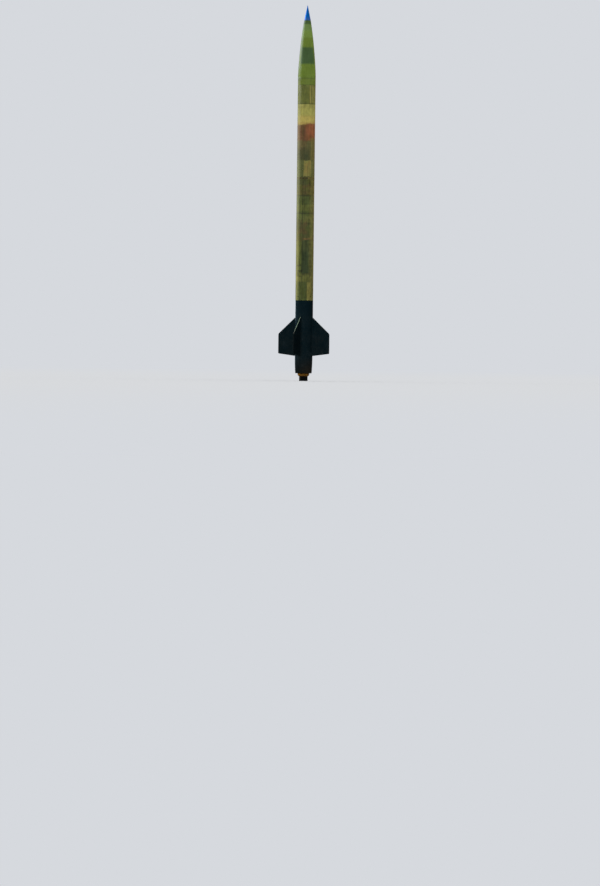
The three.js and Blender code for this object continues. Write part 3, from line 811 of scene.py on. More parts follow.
def make_mesh(name, shape, weld=False):
    """A mesh from a shape. A welded one has its doubles merged and its faces turned outwards."""
    mesh = bpy.data.meshes.new(name)
    mesh.from_pydata(shape.vertices, [], shape.faces)
    if weld:
        work = bmesh.new()
        work.from_mesh(mesh)
        bmesh.ops.remove_doubles(work, verts=work.verts, dist=0.001 * MM)
        bmesh.ops.dissolve_degenerate(work, edges=work.edges, dist=NOTHING)
        bmesh.ops.recalc_face_normals(work, faces=work.faces)
        work.to_mesh(mesh)
        work.free()
    mesh.update()
    smooth(mesh)
    return mesh


def new_object(name, data):
    obj = bpy.data.objects.new(name, data)
    bpy.context.scene.collection.objects.link(obj)
    return obj


def from_shape(name, shape, weld=False):
    return new_object(name, make_mesh(name, shape, weld))


def applied(obj):
    """The object with its modifiers worked into a plain mesh."""
    graph = bpy.context.evaluated_depsgraph_get()
    mesh = bpy.data.meshes.new_from_object(obj.evaluated_get(graph), depsgraph=graph)
    mesh.name = obj.name
    obj.modifiers.clear()
    obj.data = mesh
    return obj


def grown(name, tree, values, template=None):
    """Runs a geometry tree with the given inputs and keeps the result as a plain mesh."""
    obj = new_object(name, template or bpy.data.meshes.new(name))
    modifier = obj.modifiers.new("Growth", "NODES")
    modifier.node_group = tree
    for item in tree.interface.items_tree:
        if item.item_type == "SOCKET" and item.in_out == "INPUT" and item.name in values:
            modifier[item.identifier] = values[item.name]
    return applied(obj)


def settle(obj, body, slot, material, *nodes):
    """Gives a finished piece its material and its CAD body, and hides the CAD nodes it stands for. The slot
    is not used.
    """
    obj.data.materials.clear()
    obj.data.materials.append(material)
    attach(obj, body)
    if nodes:
        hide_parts(*nodes)
    return obj


def piece(name, shape, body, slot, material, *nodes, weld=False):
    """A finished piece from a shape."""
    return settle(from_shape(name, shape, weld), body, slot, material, *nodes)


def bridged(rings, all_round=True):
    """Faces between each ring of vertex numbers and the next one."""
    faces = []
    for first, second in zip(rings, rings[1:]):
        for step in range(len(first) if all_round else len(first) - 1):
            after = (step + 1) % len(first)
            corners = dict.fromkeys((first[step], first[after], second[after], second[step]))
            if len(corners) > 2:
                faces.append(corners)
    return faces


def even_rings(count, size):
    """The vertex numbers of rings that have all the same number of vertices."""
    return [range(ring * size, (ring + 1) * size) for ring in range(count)]


def flat_factor(angle, sides):
    """How far a regular polygon reaches at an angle, as a share of its corner radius."""
    part = TAU / sides
    return math.cos(part / 2) / math.cos(angle % part - part / 2)


def turned(profile, closed=True, around=AROUND):
    """A profile of (radius, height) turned about the Z axis, with the material on its left. A third
    value is the number of flat sides at that point. An open profile starts and ends on the axis."""
    vertices, rings = [], []
    for radius, height, *sides in profile:
        start = len(vertices)
        if radius < NOTHING:
            vertices.append((0, 0, height))
            rings.append([start] * around)
            continue
        for step in range(around):
            angle = TAU * step / around
            far = radius * (flat_factor(angle, sides[0]) if sides else 1)
            vertices.append((far * math.cos(angle), far * math.sin(angle), height))
        rings.append(range(start, start + around))
    if closed:
        rings.append(rings[0])
    return Shape(vertices, bridged(rings))


def rounded(start, corner, end, steps):
    """Points on a curve from start to end that is drawn towards the corner."""
    result = []
    for step in range(steps + 1):
        share = step / steps
        result.append(start * (1 - share) ** 2 + corner * 2 * share * (1 - share) + end * share ** 2)
    return result


def eased(profile, size=RIM, closed=True):
    """The profile with its corners rounded off by that much, and its nearly straight ones left alone."""
    nearly_straight = math.radians(155)
    most_of_side = 0.45
    result = []
    for index, point in enumerate(profile):
        here = Vector(point[:2])
        if not closed and index in (0, len(profile) - 1):
            result.append(point)
            continue
        before = Vector(profile[index - 1][:2]) - here
        after = Vector(profile[(index + 1) % len(profile)][:2]) - here
        if before.angle(after) > nearly_straight:
            result.append(point)
            continue
        cut = min(size, before.length * most_of_side, after.length * most_of_side)
        start, end = here + before.normalized() * cut, here + after.normalized() * cut
        result += [tuple(spot) for spot in rounded(start, here, end, EASING_STEPS)]
    return result


def tube_profile(inner, outer, bottom, top):
    return [(inner, bottom), (outer, bottom), (outer, top), (inner, top)]


def disc_profile(radius, bottom, top):
    return [(0, bottom), (radius, bottom), (radius, top), (0, top)]


def groove(radius, bottom, depth, width):
    """Profile points of a groove turned into a cylinder, from its lower edge to its upper one."""
    slope = 0.3 * MM
    return [(radius, bottom), (radius - depth, bottom + slope),
            (radius - depth, bottom + width - slope), (radius, bottom + width)]


def ring_piece(name, profile, body, slot, material, *nodes, size=RIM, closed=True):
    """A turned piece with eased corners."""
    return piece(name, turned(eased(profile, size, closed), closed), body, slot, material, *nodes)


def drilled(obj, holes, reach_both_ways=HOLE_REACH):
    """Drills round holes: each is (point on its axis, direction, radius)."""
    cutters = Shape()
    for point, direction, radius in holes:
        rod = turned(disc_profile(radius, -reach_both_ways, reach_both_ways), closed=False, around=24)
        turn = UP.rotation_difference(Vector(direction)).to_matrix().to_4x4()
        cutters.add(rod.placed(Matrix.Translation(point) @ turn))
    cutter = from_shape(obj.name + "_drill", cutters)
    modifier = obj.modifiers.new("Drill", "BOOLEAN")
    modifier.operation = "DIFFERENCE"
    modifier.solver = "EXACT"
    modifier.object = cutter
    applied(obj)
    bpy.data.objects.remove(cutter)
    smooth(obj.data)
    return obj


def on_skin(view_angle, height):
    """A point and outward direction on the skin, from degrees round from the photographed side."""
    angle = math.radians(view_angle) + VIEW_AZIMUTH
    outward = Vector((math.sin(angle), -math.cos(angle), 0))
    return outward * TUBE_RADIUS + UP * height, outward


def skin_holes(rows):
    """Holes through the skin for drilling, from (degrees round, height, radius)."""
    return [(*on_skin(view_angle, height), radius) for view_angle, height, radius in rows]


def swept(path, radii):
    """A round bar along a path in the YZ plane, with a radius for each of its points."""
    sides = 16
    vertices = []
    across = Vector((1, 0, 0))
    for index, point in enumerate(path):
        ahead = path[min(index + 1, len(path) - 1)] - path[max(index - 1, 0)]
        beside = across.cross(ahead.normalized())
        for step in range(sides):
            angle = TAU * step / sides
            offset = across * math.cos(angle) + beside * math.sin(angle)
            vertices.append(point + offset * radii[index])
    rings = even_rings(len(path), sides)
    return Shape(vertices, [*bridged(rings), rings[0][::-1], rings[-1]])


def hex_nut():
    """A hexagon nut that stands on height 0, chamfered at both ends."""
    flat = NUT_RADIUS * math.cos(math.pi / 6)
    bore = BOLT_ROD - THREAD_DEPTH
    mouth, mouth_depth, chamfer = bore + 0.8 * MM, 0.5 * MM, 0.9 * MM
    return turned([
        (bore, mouth_depth), (mouth, 0), (flat, 0), (NUT_RADIUS, chamfer, 6),
        (NUT_RADIUS, NUT_HEIGHT - chamfer, 6), (flat, NUT_HEIGHT), (mouth, NUT_HEIGHT),
        (bore, NUT_HEIGHT - mouth_depth),
    ], around=48)


def socket_head(radius, height, socket):
    """A low domed screw head with a hexagon socket. It stands on height 0 and is sunk in a little."""
    seat = 0.5 * MM
    dome = [(width * radius, rise * height) for width, rise in ((1, 0.25), (0.88, 0.7), (0.62, 1))]
    socket_floor, socket_draft = 0.35 * height, 0.96
    return turned([
        (0, -seat), (radius, -seat), *dome, (socket, height, 6), (socket * socket_draft, socket_floor, 6),
        (0, socket_floor),
    ], closed=False, around=24)


def thread_radii(steps):
    """Radii of a threaded stretch, crest and root by turns, with a chamfer at its start."""
    return [BOLT_ROD - THREAD_DEPTH * (2 if index == 0 else index % 2) for index in range(steps)]


# Nose

def nose_radius(height):
    """Radius of the low-drag nose curve at a height."""
    share = (CURVE_TOP - height) / NOSE_LENGTH
    angle = math.acos(1 - 2 * share)
    return TUBE_RADIUS * math.sqrt((angle - math.sin(2 * angle) / 2) / math.pi)


def make_nose_tree():
    """The nose's skin: a sheet rolled round the axis, whose radius follows from its height."""
    graph, given, out = new_tree(
        "Nose skin", "GeometryNodeTree",
        [
            ("Base radius", NUMBER, 0.08), ("Curve length", NUMBER, 0.6), ("Curve top", NUMBER, 3.0),
            ("Bottom", NUMBER, 2.0), ("Top", NUMBER, 3.0), ("Columns", COUNT, 128), ("Rows", COUNT, 40),
            ("Material", MATERIAL, None),
        ],
        [("Geometry", GEOMETRY)],
    )
    columns = graph.plus(given["Columns"], 1.0)
    sizes = {"Size X": TAU, "Size Y": 1.0, "Vertices X": columns, "Vertices Y": given["Rows"]}
    sheet = graph.node("GeometryNodeMeshGrid", sizes)
    place = graph.node("GeometryNodeInputPosition").outputs[0]
    parts = graph.node("ShaderNodeSeparateXYZ", {"Vector": place}).outputs
    share = graph.math("SINE", graph.times(graph.plus(parts["Y"], 0.5), math.pi / 2))
    rise = graph.times(graph.minus(given["Top"], given["Bottom"]), share)
    height = graph.plus(given["Bottom"], rise)
    from_point = graph.math("DIVIDE", graph.minus(given["Curve top"], height), given["Curve length"])
    turn = graph.math("ARCCOSINE", graph.minus(1.0, graph.times(from_point, 2.0)))
    wave = graph.times(graph.math("SINE", graph.times(turn, 2.0)), 0.5)
    area = graph.math("DIVIDE", graph.minus(turn, wave), math.pi)
    radius = graph.times(given["Base radius"], graph.math("SQRT", area))
    rolled = graph.node("ShaderNodeCombineXYZ", {
        "X": graph.times(radius, graph.math("COSINE", parts["X"])),
        "Y": graph.times(radius, graph.math("SINE", parts["X"])),
        "Z": height,
    })
    moved = {"Geometry": sheet.outputs[0], "Position": rolled.outputs[0]}
    skin = graph.node("GeometryNodeSetPosition", moved)
    merge_within = 0.01 * MM
    merged = {"Geometry": skin.outputs[0], "Distance": merge_within}
    closed = graph.node("GeometryNodeMergeByDistance", merged)
    finish_tree(graph, closed, given, out)
    return graph.tree


def make_nose():
    shell = grown("nose_shell", make_nose_tree(), {
        "Base radius": TUBE_RADIUS, "Curve length": NOSE_LENGTH, "Curve top": CURVE_TOP,
        "Bottom": NOSE_BASE, "Top": TIP_BASE, "Columns": AROUND, "Rows": 48, "Material": NOSE_GLASS,
    })
    wall = shell.modifiers.new("Wall", "SOLIDIFY")
    wall.thickness = NOSE_WALL
    wall.offset = -1
    applied(shell)
    smooth(shell.data)
    settle(shell, "nose", "glass_nose", NOSE_GLASS, "nose_cone")

    seat = nose_radius(TIP_BASE) - SEAM
    plug = seat - NOSE_WALL
    start, steps = TIP_BASE + SEAM, 12
    rise = ROCKET_TOP - POINT_RADIUS - start
    notch = [(seat - depth * MM, start + up * MM) for depth, up in POINT_GROOVE]
    cone = [(seat + (POINT_RADIUS - seat) * step / steps, start + rise * step / steps)
            for step in range(1, steps + 1)]
    cap = [(0.6 * POINT_RADIUS, ROCKET_TOP - 0.3 * POINT_RADIUS), (0, ROCKET_TOP)]
    profile = [(0, low("nose_tip")), (plug, low("nose_tip")), (plug, start)] + notch + cone + cap
    point = turned(profile, closed=False, around=64)
    piece("nose_point", point, "nose", "blue_metal", BLUE_METAL, "nose_tip")

    collar = tube_profile(BORE_RADIUS, TUBE_RADIUS, low("nose_collar"), high("nose_collar"))
    ring_piece("nose_base_collar", collar, "nose", "glass_nose", NOSE_GLASS, "nose_collar")
    shoulder = tube_profile(COUPLER_BORE, COUPLER_RADIUS, low("nose_shoulder"), high("nose_shoulder"))
    ring_piece("nose_shoulder_tube", shoulder, "nose", "glass_coupler", COUPLER_GLASS, "nose_shoulder")
    bottom, top = low("nose_bulkhead"), high("nose_bulkhead")
    disc = disc_profile(reach("nose_bulkhead"), bottom, top)
    ring_piece("nose_bulkhead_disc", disc, "nose", "laminate_plate", BOARD, "nose_bulkhead", closed=False)
    make_u_bolt("nose_recovery_bolt", "nose_u_bolt", bottom, top - bottom, True, "nose")


def make_u_bolt(name, node, face, thickness, hangs, body):
    """A U-bolt with threaded legs and four nuts. Its bow stands up from a face or hangs from it."""
    shoulder = BOLT_REACH - BOLT_SPREAD - BOLT_ROD
    foot = -thickness - 10 * MM
    plain_from = 9 * MM
    bow_steps = 24
    steps = round((plain_from - foot) / THREAD_STEP)
    leg = [Vector((0, -BOLT_SPREAD, foot + index * THREAD_STEP)) for index in range(steps)]
    far_leg = [Vector((0, BOLT_SPREAD, point.z)) for point in reversed(leg)]
    angles = [math.pi * step / bow_steps for step in range(bow_steps + 1)]
    bow = [Vector((0, -BOLT_SPREAD * math.cos(angle), shoulder + BOLT_SPREAD * math.sin(angle)))
           for angle in angles]
    radii = thread_radii(steps)
    shape = swept(leg + bow + far_leg, radii + [BOLT_ROD] * len(bow) + radii[::-1])
    for side in (-1, 1):
        for bottom in (SEAM, -thickness - SEAM - NUT_HEIGHT):
            shape.add(hex_nut().placed(Matrix.Translation((0, side * BOLT_SPREAD, bottom))))
    turn = Matrix.Rotation(math.pi, 4, "X") if hangs else Matrix.Identity(4)
    bolt = shape.placed(Matrix.Translation((0, 0, face)) @ turn)
    piece(name, bolt, body, "steel", STEEL, node, weld=True)


# Payload section

def make_payload_section():
    body = "payload_section"
    tube = vented_tube("payload_airframe", "payload_tube", PAYLOAD_VENT)
    settle(tube, body, "glass_tube", PAYLOAD_GLASS, "payload_tube")

    band = tube_profile(BORE_RADIUS, TUBE_RADIUS, low("switch_band"), high("switch_band"))
    ring = from_shape("bay_switch_band", turned(eased(band)))
    drilled(ring, skin_holes(SWITCH_PORTS), 6 * MM)
    settle(ring, body, "dark_band", BAND_GLASS, "switch_band")

    coupler = tube_profile(COUPLER_BORE, COUPLER_RADIUS, low("bay_coupler"), high("bay_coupler"))
    ring_piece("bay_coupler_tube", coupler, body, "glass_coupler", COUPLER_GLASS, "bay_coupler")
    for place in ("lower", "upper"):
        make_end_plate(place, body)
    for side in ("left", "right"):
        make_bay_rod(side, body)


def vented_tube(name, node, vent):
    """An airframe tube with one vent hole, and rows of points close below and above the hole."""
    height = vent[1]
    profile = eased(tube_profile(BORE_RADIUS, TUBE_RADIUS, low(node), high(node)))
    profile = with_rows(profile, [height - VENT_MARGIN, height + VENT_MARGIN])
    return drilled(from_shape(name, turned(profile)), skin_holes([vent]))


def make_end_plate(place, body):
    """An end plate of the bay: its rim lies on the coupler's end and its step fits inside."""
    node = "bay_plate_" + place
    bottom, top = low(node), high(node)
    step_radius = COUPLER_BORE - SEAM
    lower = place == "lower"
    if lower:
        below, ledge, above = COUPLER_RADIUS, bottom + PLATE_RIM, step_radius
    else:
        below, ledge, above = step_radius, top - PLATE_RIM, COUPLER_RADIUS
    profile = [(0, bottom), (below, bottom), (below, ledge), (above, ledge), (above, top), (0, top)]
    name = "bay_end_plate_" + place
    ring_piece(name, profile, body, "laminate_plate", BOARD, node, closed=False)
    face = bottom if lower else top
    make_u_bolt("bay_recovery_bolt_" + place, "bay_u_bolt_" + place, face, top - bottom, lower, body)


def with_rows(profile, heights):
    """The tube profile with extra points at these heights on its outer and inner walls."""
    result = []
    for index, point in enumerate(profile):
        result.append(point)
        after = profile[(index + 1) % len(profile)]
        upright = abs(after[0] - point[0]) < NOTHING
        if upright and abs(after[1] - point[1]) > LONG_WALL:
            ordered = sorted(heights, reverse=after[1] < point[1])
            result += [(point[0], height) for height in ordered]
    return result


def make_bay_rod(side, body):
    """A threaded rod through both end plates, with a nut outside each."""
    node = "bay_rod_" + side
    corner_low, corner_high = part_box(node)
    middle_x = (corner_low.x + corner_high.x) / 2
    bottom, top = corner_low.z, corner_high.z
    threaded_steps = 26
    ends = [(radius, index * THREAD_STEP) for index, radius in enumerate(thread_radii(threaded_steps))]
    profile = [(0, bottom)] + [(radius, bottom + along) for radius, along in ends]
    profile += [(radius, top - along) for radius, along in reversed(ends)] + [(0, top)]
    shape = turned(profile, closed=False, around=24)
    for height in (low("bay_plate_lower") - SEAM - NUT_HEIGHT, high("bay_plate_upper") + SEAM):
        shape.add(hex_nut().placed(Matrix.Translation((0, 0, height))))
    rod = shape.placed(Matrix.Translation((middle_x, 0, 0)))
    piece("bay_threaded_rod_" + side, rod, body, "steel", STEEL, node)


# Booster

def make_booster_tubes():
    tube = vented_tube("booster_airframe", "booster_tube", BOOSTER_VENT)
    settle(tube, "booster", "glass_tube", BOOSTER_GLASS, "booster_tube")

    bottom, top = low("fin_can"), high("fin_can")
    joint = low("booster_tube") - SEAM
    inside = joint - 12 * MM
    ring_piece("fin_can_tube", [
        (BORE_RADIUS, bottom), (TUBE_RADIUS, bottom), (TUBE_RADIUS, joint), (COUPLER_RADIUS, joint),
        (COUPLER_RADIUS, top), (COUPLER_BORE, top), (COUPLER_BORE, inside), (BORE_RADIUS, inside),
    ], "booster", "black_laminate", TUBE_LAMINATE, "fin_can")


def fin_edge(inset):
    """The fin's free edge moved in by a distance, as (radius, height) points from the root's trailing
    end round the tip to its leading end. Each tip corner keeps the same number of points."""
    span = FIN_TIP_RADIUS - TUBE_RADIUS
    trail_slope = (FIN_TIP_TRAIL - FIN_ROOT_TRAIL) / span
    lead_slope = (FIN_TIP_LEAD - FIN_ROOT_LEAD) / span
    tip = FIN_TIP_RADIUS - inset
    root = TUBE_RADIUS - FIN_SUNK
    corner = max(FIN_CORNER - inset, 0)

    def trail(radius):
        return FIN_ROOT_TRAIL + trail_slope * (radius - TUBE_RADIUS) + inset * math.hypot(1, trail_slope)

    def lead(radius):
        return FIN_ROOT_LEAD + lead_slope * (radius - TUBE_RADIUS) - inset * math.hypot(1, lead_slope)

    points = [(root, trail(root))]
    bends = [
        ((tip - corner, trail(tip - corner)), (tip, trail(tip)), (tip, trail(tip) + corner)),
        ((tip, lead(tip) - corner), (tip, lead(tip)), (tip - corner, lead(tip - corner))),
    ]
    for bend in bends:
        points += [tuple(spot) for spot in rounded(*map(Vector, bend), FIN_CORNER_STEPS)]
    points.append((root, lead(root)))
    return points


def fin_layer(levels):
    """One layer of the fin's plate, standing out along +X, from its (inset, side) outlines."""
    vertices, loops = [], []
    for inset, side in levels:
        points = fin_edge(inset)
        loops.append(range(len(vertices), len(vertices) + len(points)))
        vertices += [(radius, side, height) for radius, height in points]
    root = [loop[0] for loop in loops] + [loop[-1] for loop in reversed(loops)]
    return Shape(vertices, [loops[0], loops[-1][::-1], *bridged(loops, all_round=False), root])


def fin_fillet(side):
    """The rounded fillet between one face of the fin and the tube. It thins out at both ends."""
    run_in, run_out, thinnest = 30 * MM, 18 * MM, 0.3 * MM
    bottom, top = FIN_ROOT_TRAIL + 0.5 * MM, FIN_ROOT_LEAD - 1 * MM
    full_thickness_soon = 12
    stations, arc_steps = 36, 8
    rings = []
    for station in range(stations + 1):
        height = bottom + (top - bottom) * (1 - math.cos(math.pi * station / stations)) / 2
        from_lead = (FIN_ROOT_LEAD - height) / run_in
        from_trail = (height - FIN_ROOT_TRAIL) / run_out
        nearest = min(from_lead, from_trail)
        half = FIN_CORE_HALF + (FIN_HALF - FIN_CORE_HALF) * min(nearest * full_thickness_soon, 1)
        radius = max(FILLET_RADIUS * math.sin(min(nearest, 1) * math.pi / 2), thinnest)
        centre_y = half + radius
        centre_x = math.sqrt((TUBE_RADIUS + radius) ** 2 - centre_y ** 2)
        first = math.atan2(-centre_y, -centre_x)
        ring = []
        for step in range(arc_steps + 1):
            angle = first + (-math.pi / 2 - first) * step / arc_steps
            ring.append((centre_x + radius * math.cos(angle), centre_y + radius * math.sin(angle)))
        tube_point = Vector(ring[0]).normalized() * (TUBE_RADIUS - FILLET_SUNK)
        inner_y = half - FILLET_SUNK
        ring += [(centre_x, inner_y), (TUBE_RADIUS - 2 * FILLET_SUNK, inner_y), tuple(tube_point)]
        rings.append([(x, side * y, height) for x, y in ring])
    vertices = [vertex for ring in rings for vertex in ring]
    numbered = even_rings(len(rings), len(rings[0]))
    return Shape(vertices, [*bridged(numbered), numbered[0], numbered[-1]])


def make_fins():
    """Each fin is a glass fibre core between black skins, with a fillet on each side of its root."""
    core_half, relief = FIN_CORE_HALF, 0.25 * MM
    core = fin_layer([
        (relief, core_half), (0, core_half - relief), (0, relief - core_half), (relief, -core_half),
    ])
    skins = Shape()
    for side in (1, -1):
        skins.add(fin_layer([
            (FIN_ROUNDING, side * FIN_HALF), (0.6 * MM, side * (FIN_HALF - 0.12 * MM)),
            (0.2 * MM, side * (FIN_HALF - 0.5 * MM)), (0, side * core_half),
        ]))
        skins.add(fin_fillet(side))
    for node, degrees in FIN_ANGLES.items():
        turn = Matrix.Rotation(math.radians(degrees), 4, "Z")
        for layer, shape, slot, material in (
            ("core", core, "laminate_plate", FIN_BOARD), ("skins", skins, "black_laminate", SHADED_FIN_LAMINATE),
        ):
            piece(node + "_" + layer, shape.placed(turn), "booster", slot, material, node, weld=True)


def make_tail():
    """The fairing that draws in to the motor end, with its spigot above and its end wall below."""
    bottom, top, spigot_top = low("tail_cone"), low("fin_can") - SEAM, high("tail_cone")
    wall, end_wall, chamfer = 3 * MM, 8 * MM, 2 * MM
    hole = reach("retainer_body") + SEAM
    rows = 24
    outer = []
    for row in range(1, rows):
        share = row / rows
        drawn_in = (TUBE_RADIUS - TAIL_END_RADIUS) * (1 - share) ** TAIL_CURVE
        outer.append((TUBE_RADIUS - drawn_in, bottom + (top - bottom) * share))
    inner = [(radius - wall, height) for radius, height in reversed(outer) if height > bottom + end_wall]
    profile = [
        (hole, bottom), (TAIL_END_RADIUS - chamfer, bottom), (TAIL_END_RADIUS, bottom + chamfer), *outer,
        (TUBE_RADIUS, top), (COUPLER_RADIUS, top), (COUPLER_RADIUS, spigot_top), (COUPLER_BORE, spigot_top),
        *inner, (TAIL_END_RADIUS - wall, bottom + end_wall), (hole, bottom + end_wall),
    ]
    ring_piece("tail_fairing", profile, "booster", "black_laminate", TAIL_LAMINATE, "tail_cone",
               size=0.8 * MM)


# Motor end

def make_motor_end():
    flange_bottom, flange_top, flange_radius = 46 * MM, 52 * MM, 41.5 * MM
    make_retainer(flange_bottom, flange_top)
    make_closure(flange_bottom, flange_top, flange_radius)
    make_nozzle()
    for node, material in (("motor_case", CASE_METAL), ("motor_front_ring", BOARD)):
        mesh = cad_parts[node].data
        mesh.materials.clear()
        mesh.materials.append(material)


def make_retainer(flange_bottom, flange_top):
    """The ring that holds the closure's flange, and the seat behind it that the flange lies against."""
    bottom, top, radius = low("retainer_ring"), high("retainer_ring"), reach("retainer_ring")
    lip_radius, flare_top = 43 * MM, 56 * MM
    grooves = [point for height in (58.6, 61.4) for point in groove(radius, height * MM, 0.6 * MM, 1.2 * MM)]
    ring_piece("motor_retaining_ring", [
        (CLOSURE_RADIUS + SEAM, bottom), (lip_radius, bottom), (radius, flare_top), *grooves, (radius, top),
        (THREAD_RADIUS + SEAM, top), (THREAD_RADIUS + SEAM, flange_bottom - SEAM),
        (CLOSURE_RADIUS + SEAM, flange_bottom - SEAM),
    ], "booster", "gold_metal", GOLD_METAL, "retainer_ring", size=0.6 * MM)

    inner, outer = MOTOR_RADIUS + SEAM, reach("retainer_body")
    bottom, ledge, top = flange_top + SEAM, top + SEAM, high("retainer_body")
    ring_piece("motor_retainer_seat", [
        (inner, bottom), (THREAD_RADIUS, bottom), (THREAD_RADIUS, ledge), (outer, ledge), (outer, top),
        (inner, top),
    ], "booster", "dark_metal", BLACK_METAL, "retainer_body")


def make_closure(flange_bottom, flange_top, flange_radius):
    """The motor's rear closure, grooved outside, with two holes for a spanner in its lower end."""
    bore, nozzle_seat, top = 30.3 * MM, high("nozzle") + SEAM, high("motor_closure")
    grooves = [point for height in (9.5, 21, 32.5)
               for point in groove(CLOSURE_RADIUS, height * MM, 1.1 * MM, 2.4 * MM)]
    profile = [
        (0, nozzle_seat), (bore, nozzle_seat), (bore, 0), (CLOSURE_RADIUS, 0), *grooves,
        (CLOSURE_RADIUS, flange_bottom), (flange_radius, flange_bottom), (flange_radius, flange_top),
        (MOTOR_RADIUS, flange_top), (MOTOR_RADIUS, top), (0, top),
    ]
    shape = turned(eased(profile, 0.5 * MM, closed=False), closed=False)
    closure = from_shape("motor_end_closure", shape)
    middle = (bore + CLOSURE_RADIUS) / 2
    drilled(closure, [((side * middle, 0, 0), UP, 2 * MM) for side in (1, -1)], 6 * MM)
    settle(closure, "booster", "dark_metal", BLACK_METAL, "motor_closure")


def make_nozzle():
    """The nozzle: a round inlet above, a throat, and a cone that opens to the exit."""
    lip, top, outer = low("nozzle"), high("nozzle"), reach("nozzle")
    throat, throat_height, exit_radius, inlet = 9 * MM, 44 * MM, 25 * MM, 20 * MM
    inlet_top = top - 1.5 * MM
    steps = 8
    inside = [(inlet + (throat - inlet) * math.sin(step / steps * math.pi / 2),
               inlet_top - (inlet_top - throat_height) * (step / steps)) for step in range(steps + 1)]
    below_throat = (throat + 0.6 * MM, throat_height - 3 * MM)
    ring_piece("exhaust_nozzle", [
        (exit_radius, lip), (outer, lip), (outer, top), (inlet, top), *inside, below_throat,
    ], "booster", "graphite", GRAPHITE, "nozzle")


# Rail buttons

def make_rail_buttons():
    """Grooved buttons on the tube, each with a countersunk hexagon socket screw."""
    flange, neck, neck_low, neck_top, foot = 8 * MM, 4 * MM, 3.4 * MM, 9.8 * MM, -0.6 * MM
    sink, head, gap = 1.9 * MM, 5.2 * MM, 0.15 * MM
    edge = head - gap
    socket, socket_depth = 2.3 * MM, 1.5 * MM
    for place in ("lower", "upper"):
        node = "rail_button_" + place
        corner_low, corner_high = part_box(node)
        seat = corner_low.y
        top = corner_high.y - seat
        height = (corner_low.z + corner_high.z) / 2
        stand = Matrix.Translation((0, seat, height)) @ Matrix.Rotation(-math.pi / 2, 4, "X")
        profile = eased([
            (0, foot), (flange - MM, foot), (flange, 0.2 * MM), (flange, neck_low), (neck, neck_low),
            (neck, neck_top), (flange, neck_top), (flange, top), (head, top), (head - sink, top - sink),
            (0, top - sink),
        ], 0.5 * MM, closed=False)
        button = turned(profile, closed=False, around=64).placed(stand)
        piece("rail_guide_" + place, button, "booster", "black_plastic", ACETAL, node)
        screw_foot, screw_top = top - sink + 0.1 * MM, top - 0.05 * MM
        screw = turned([
            (0, screw_foot), (edge - sink, screw_foot), (edge, top - gap), (edge - 0.2 * MM, screw_top),
            (socket, screw_top, 6), (socket - 0.1 * MM, top - socket_depth, 6), (0, top - socket_depth),
        ], closed=False, around=48)
        piece("rail_guide_screw_" + place, screw.placed(stand), "booster", "steel", STEEL)


# Small fittings that repeat round the rocket

def make_fittings_tree():
    """Copies of one small fitting at even steps round the axis."""
    graph, given, out = new_tree(
        "Fittings round a ring", "GeometryNodeTree",
        [
            ("Fitting", GEOMETRY, None), ("Count", COUNT, 4), ("Ring radius", NUMBER, 0.08),
            ("Height", NUMBER, 1.0), ("First angle", NUMBER, 0.0), ("Step angle", NUMBER, 1.0),
            ("Material", MATERIAL, None),
        ],
        [("Geometry", GEOMETRY)],
    )
    index = graph.node("GeometryNodeInputIndex").outputs[0]
    angle = graph.plus(graph.times(index, given["Step angle"]), given["First angle"])
    place = graph.node("ShaderNodeCombineXYZ", {
        "X": graph.times(given["Ring radius"], graph.math("COSINE", angle)),
        "Y": graph.times(given["Ring radius"], graph.math("SINE", angle)),
        "Z": given["Height"],
    })
    points = graph.node("GeometryNodePoints", {"Count": given["Count"], "Position": place.outputs[0]})
    turn = graph.node("ShaderNodeCombineXYZ", {"Z": angle})
    copies = graph.node("GeometryNodeInstanceOnPoints", {
        "Points": points.outputs[0], "Instance": given["Fitting"], "Rotation": turn.outputs[0],
    })
    finish_tree(graph, copies, given, out)
    return graph.tree


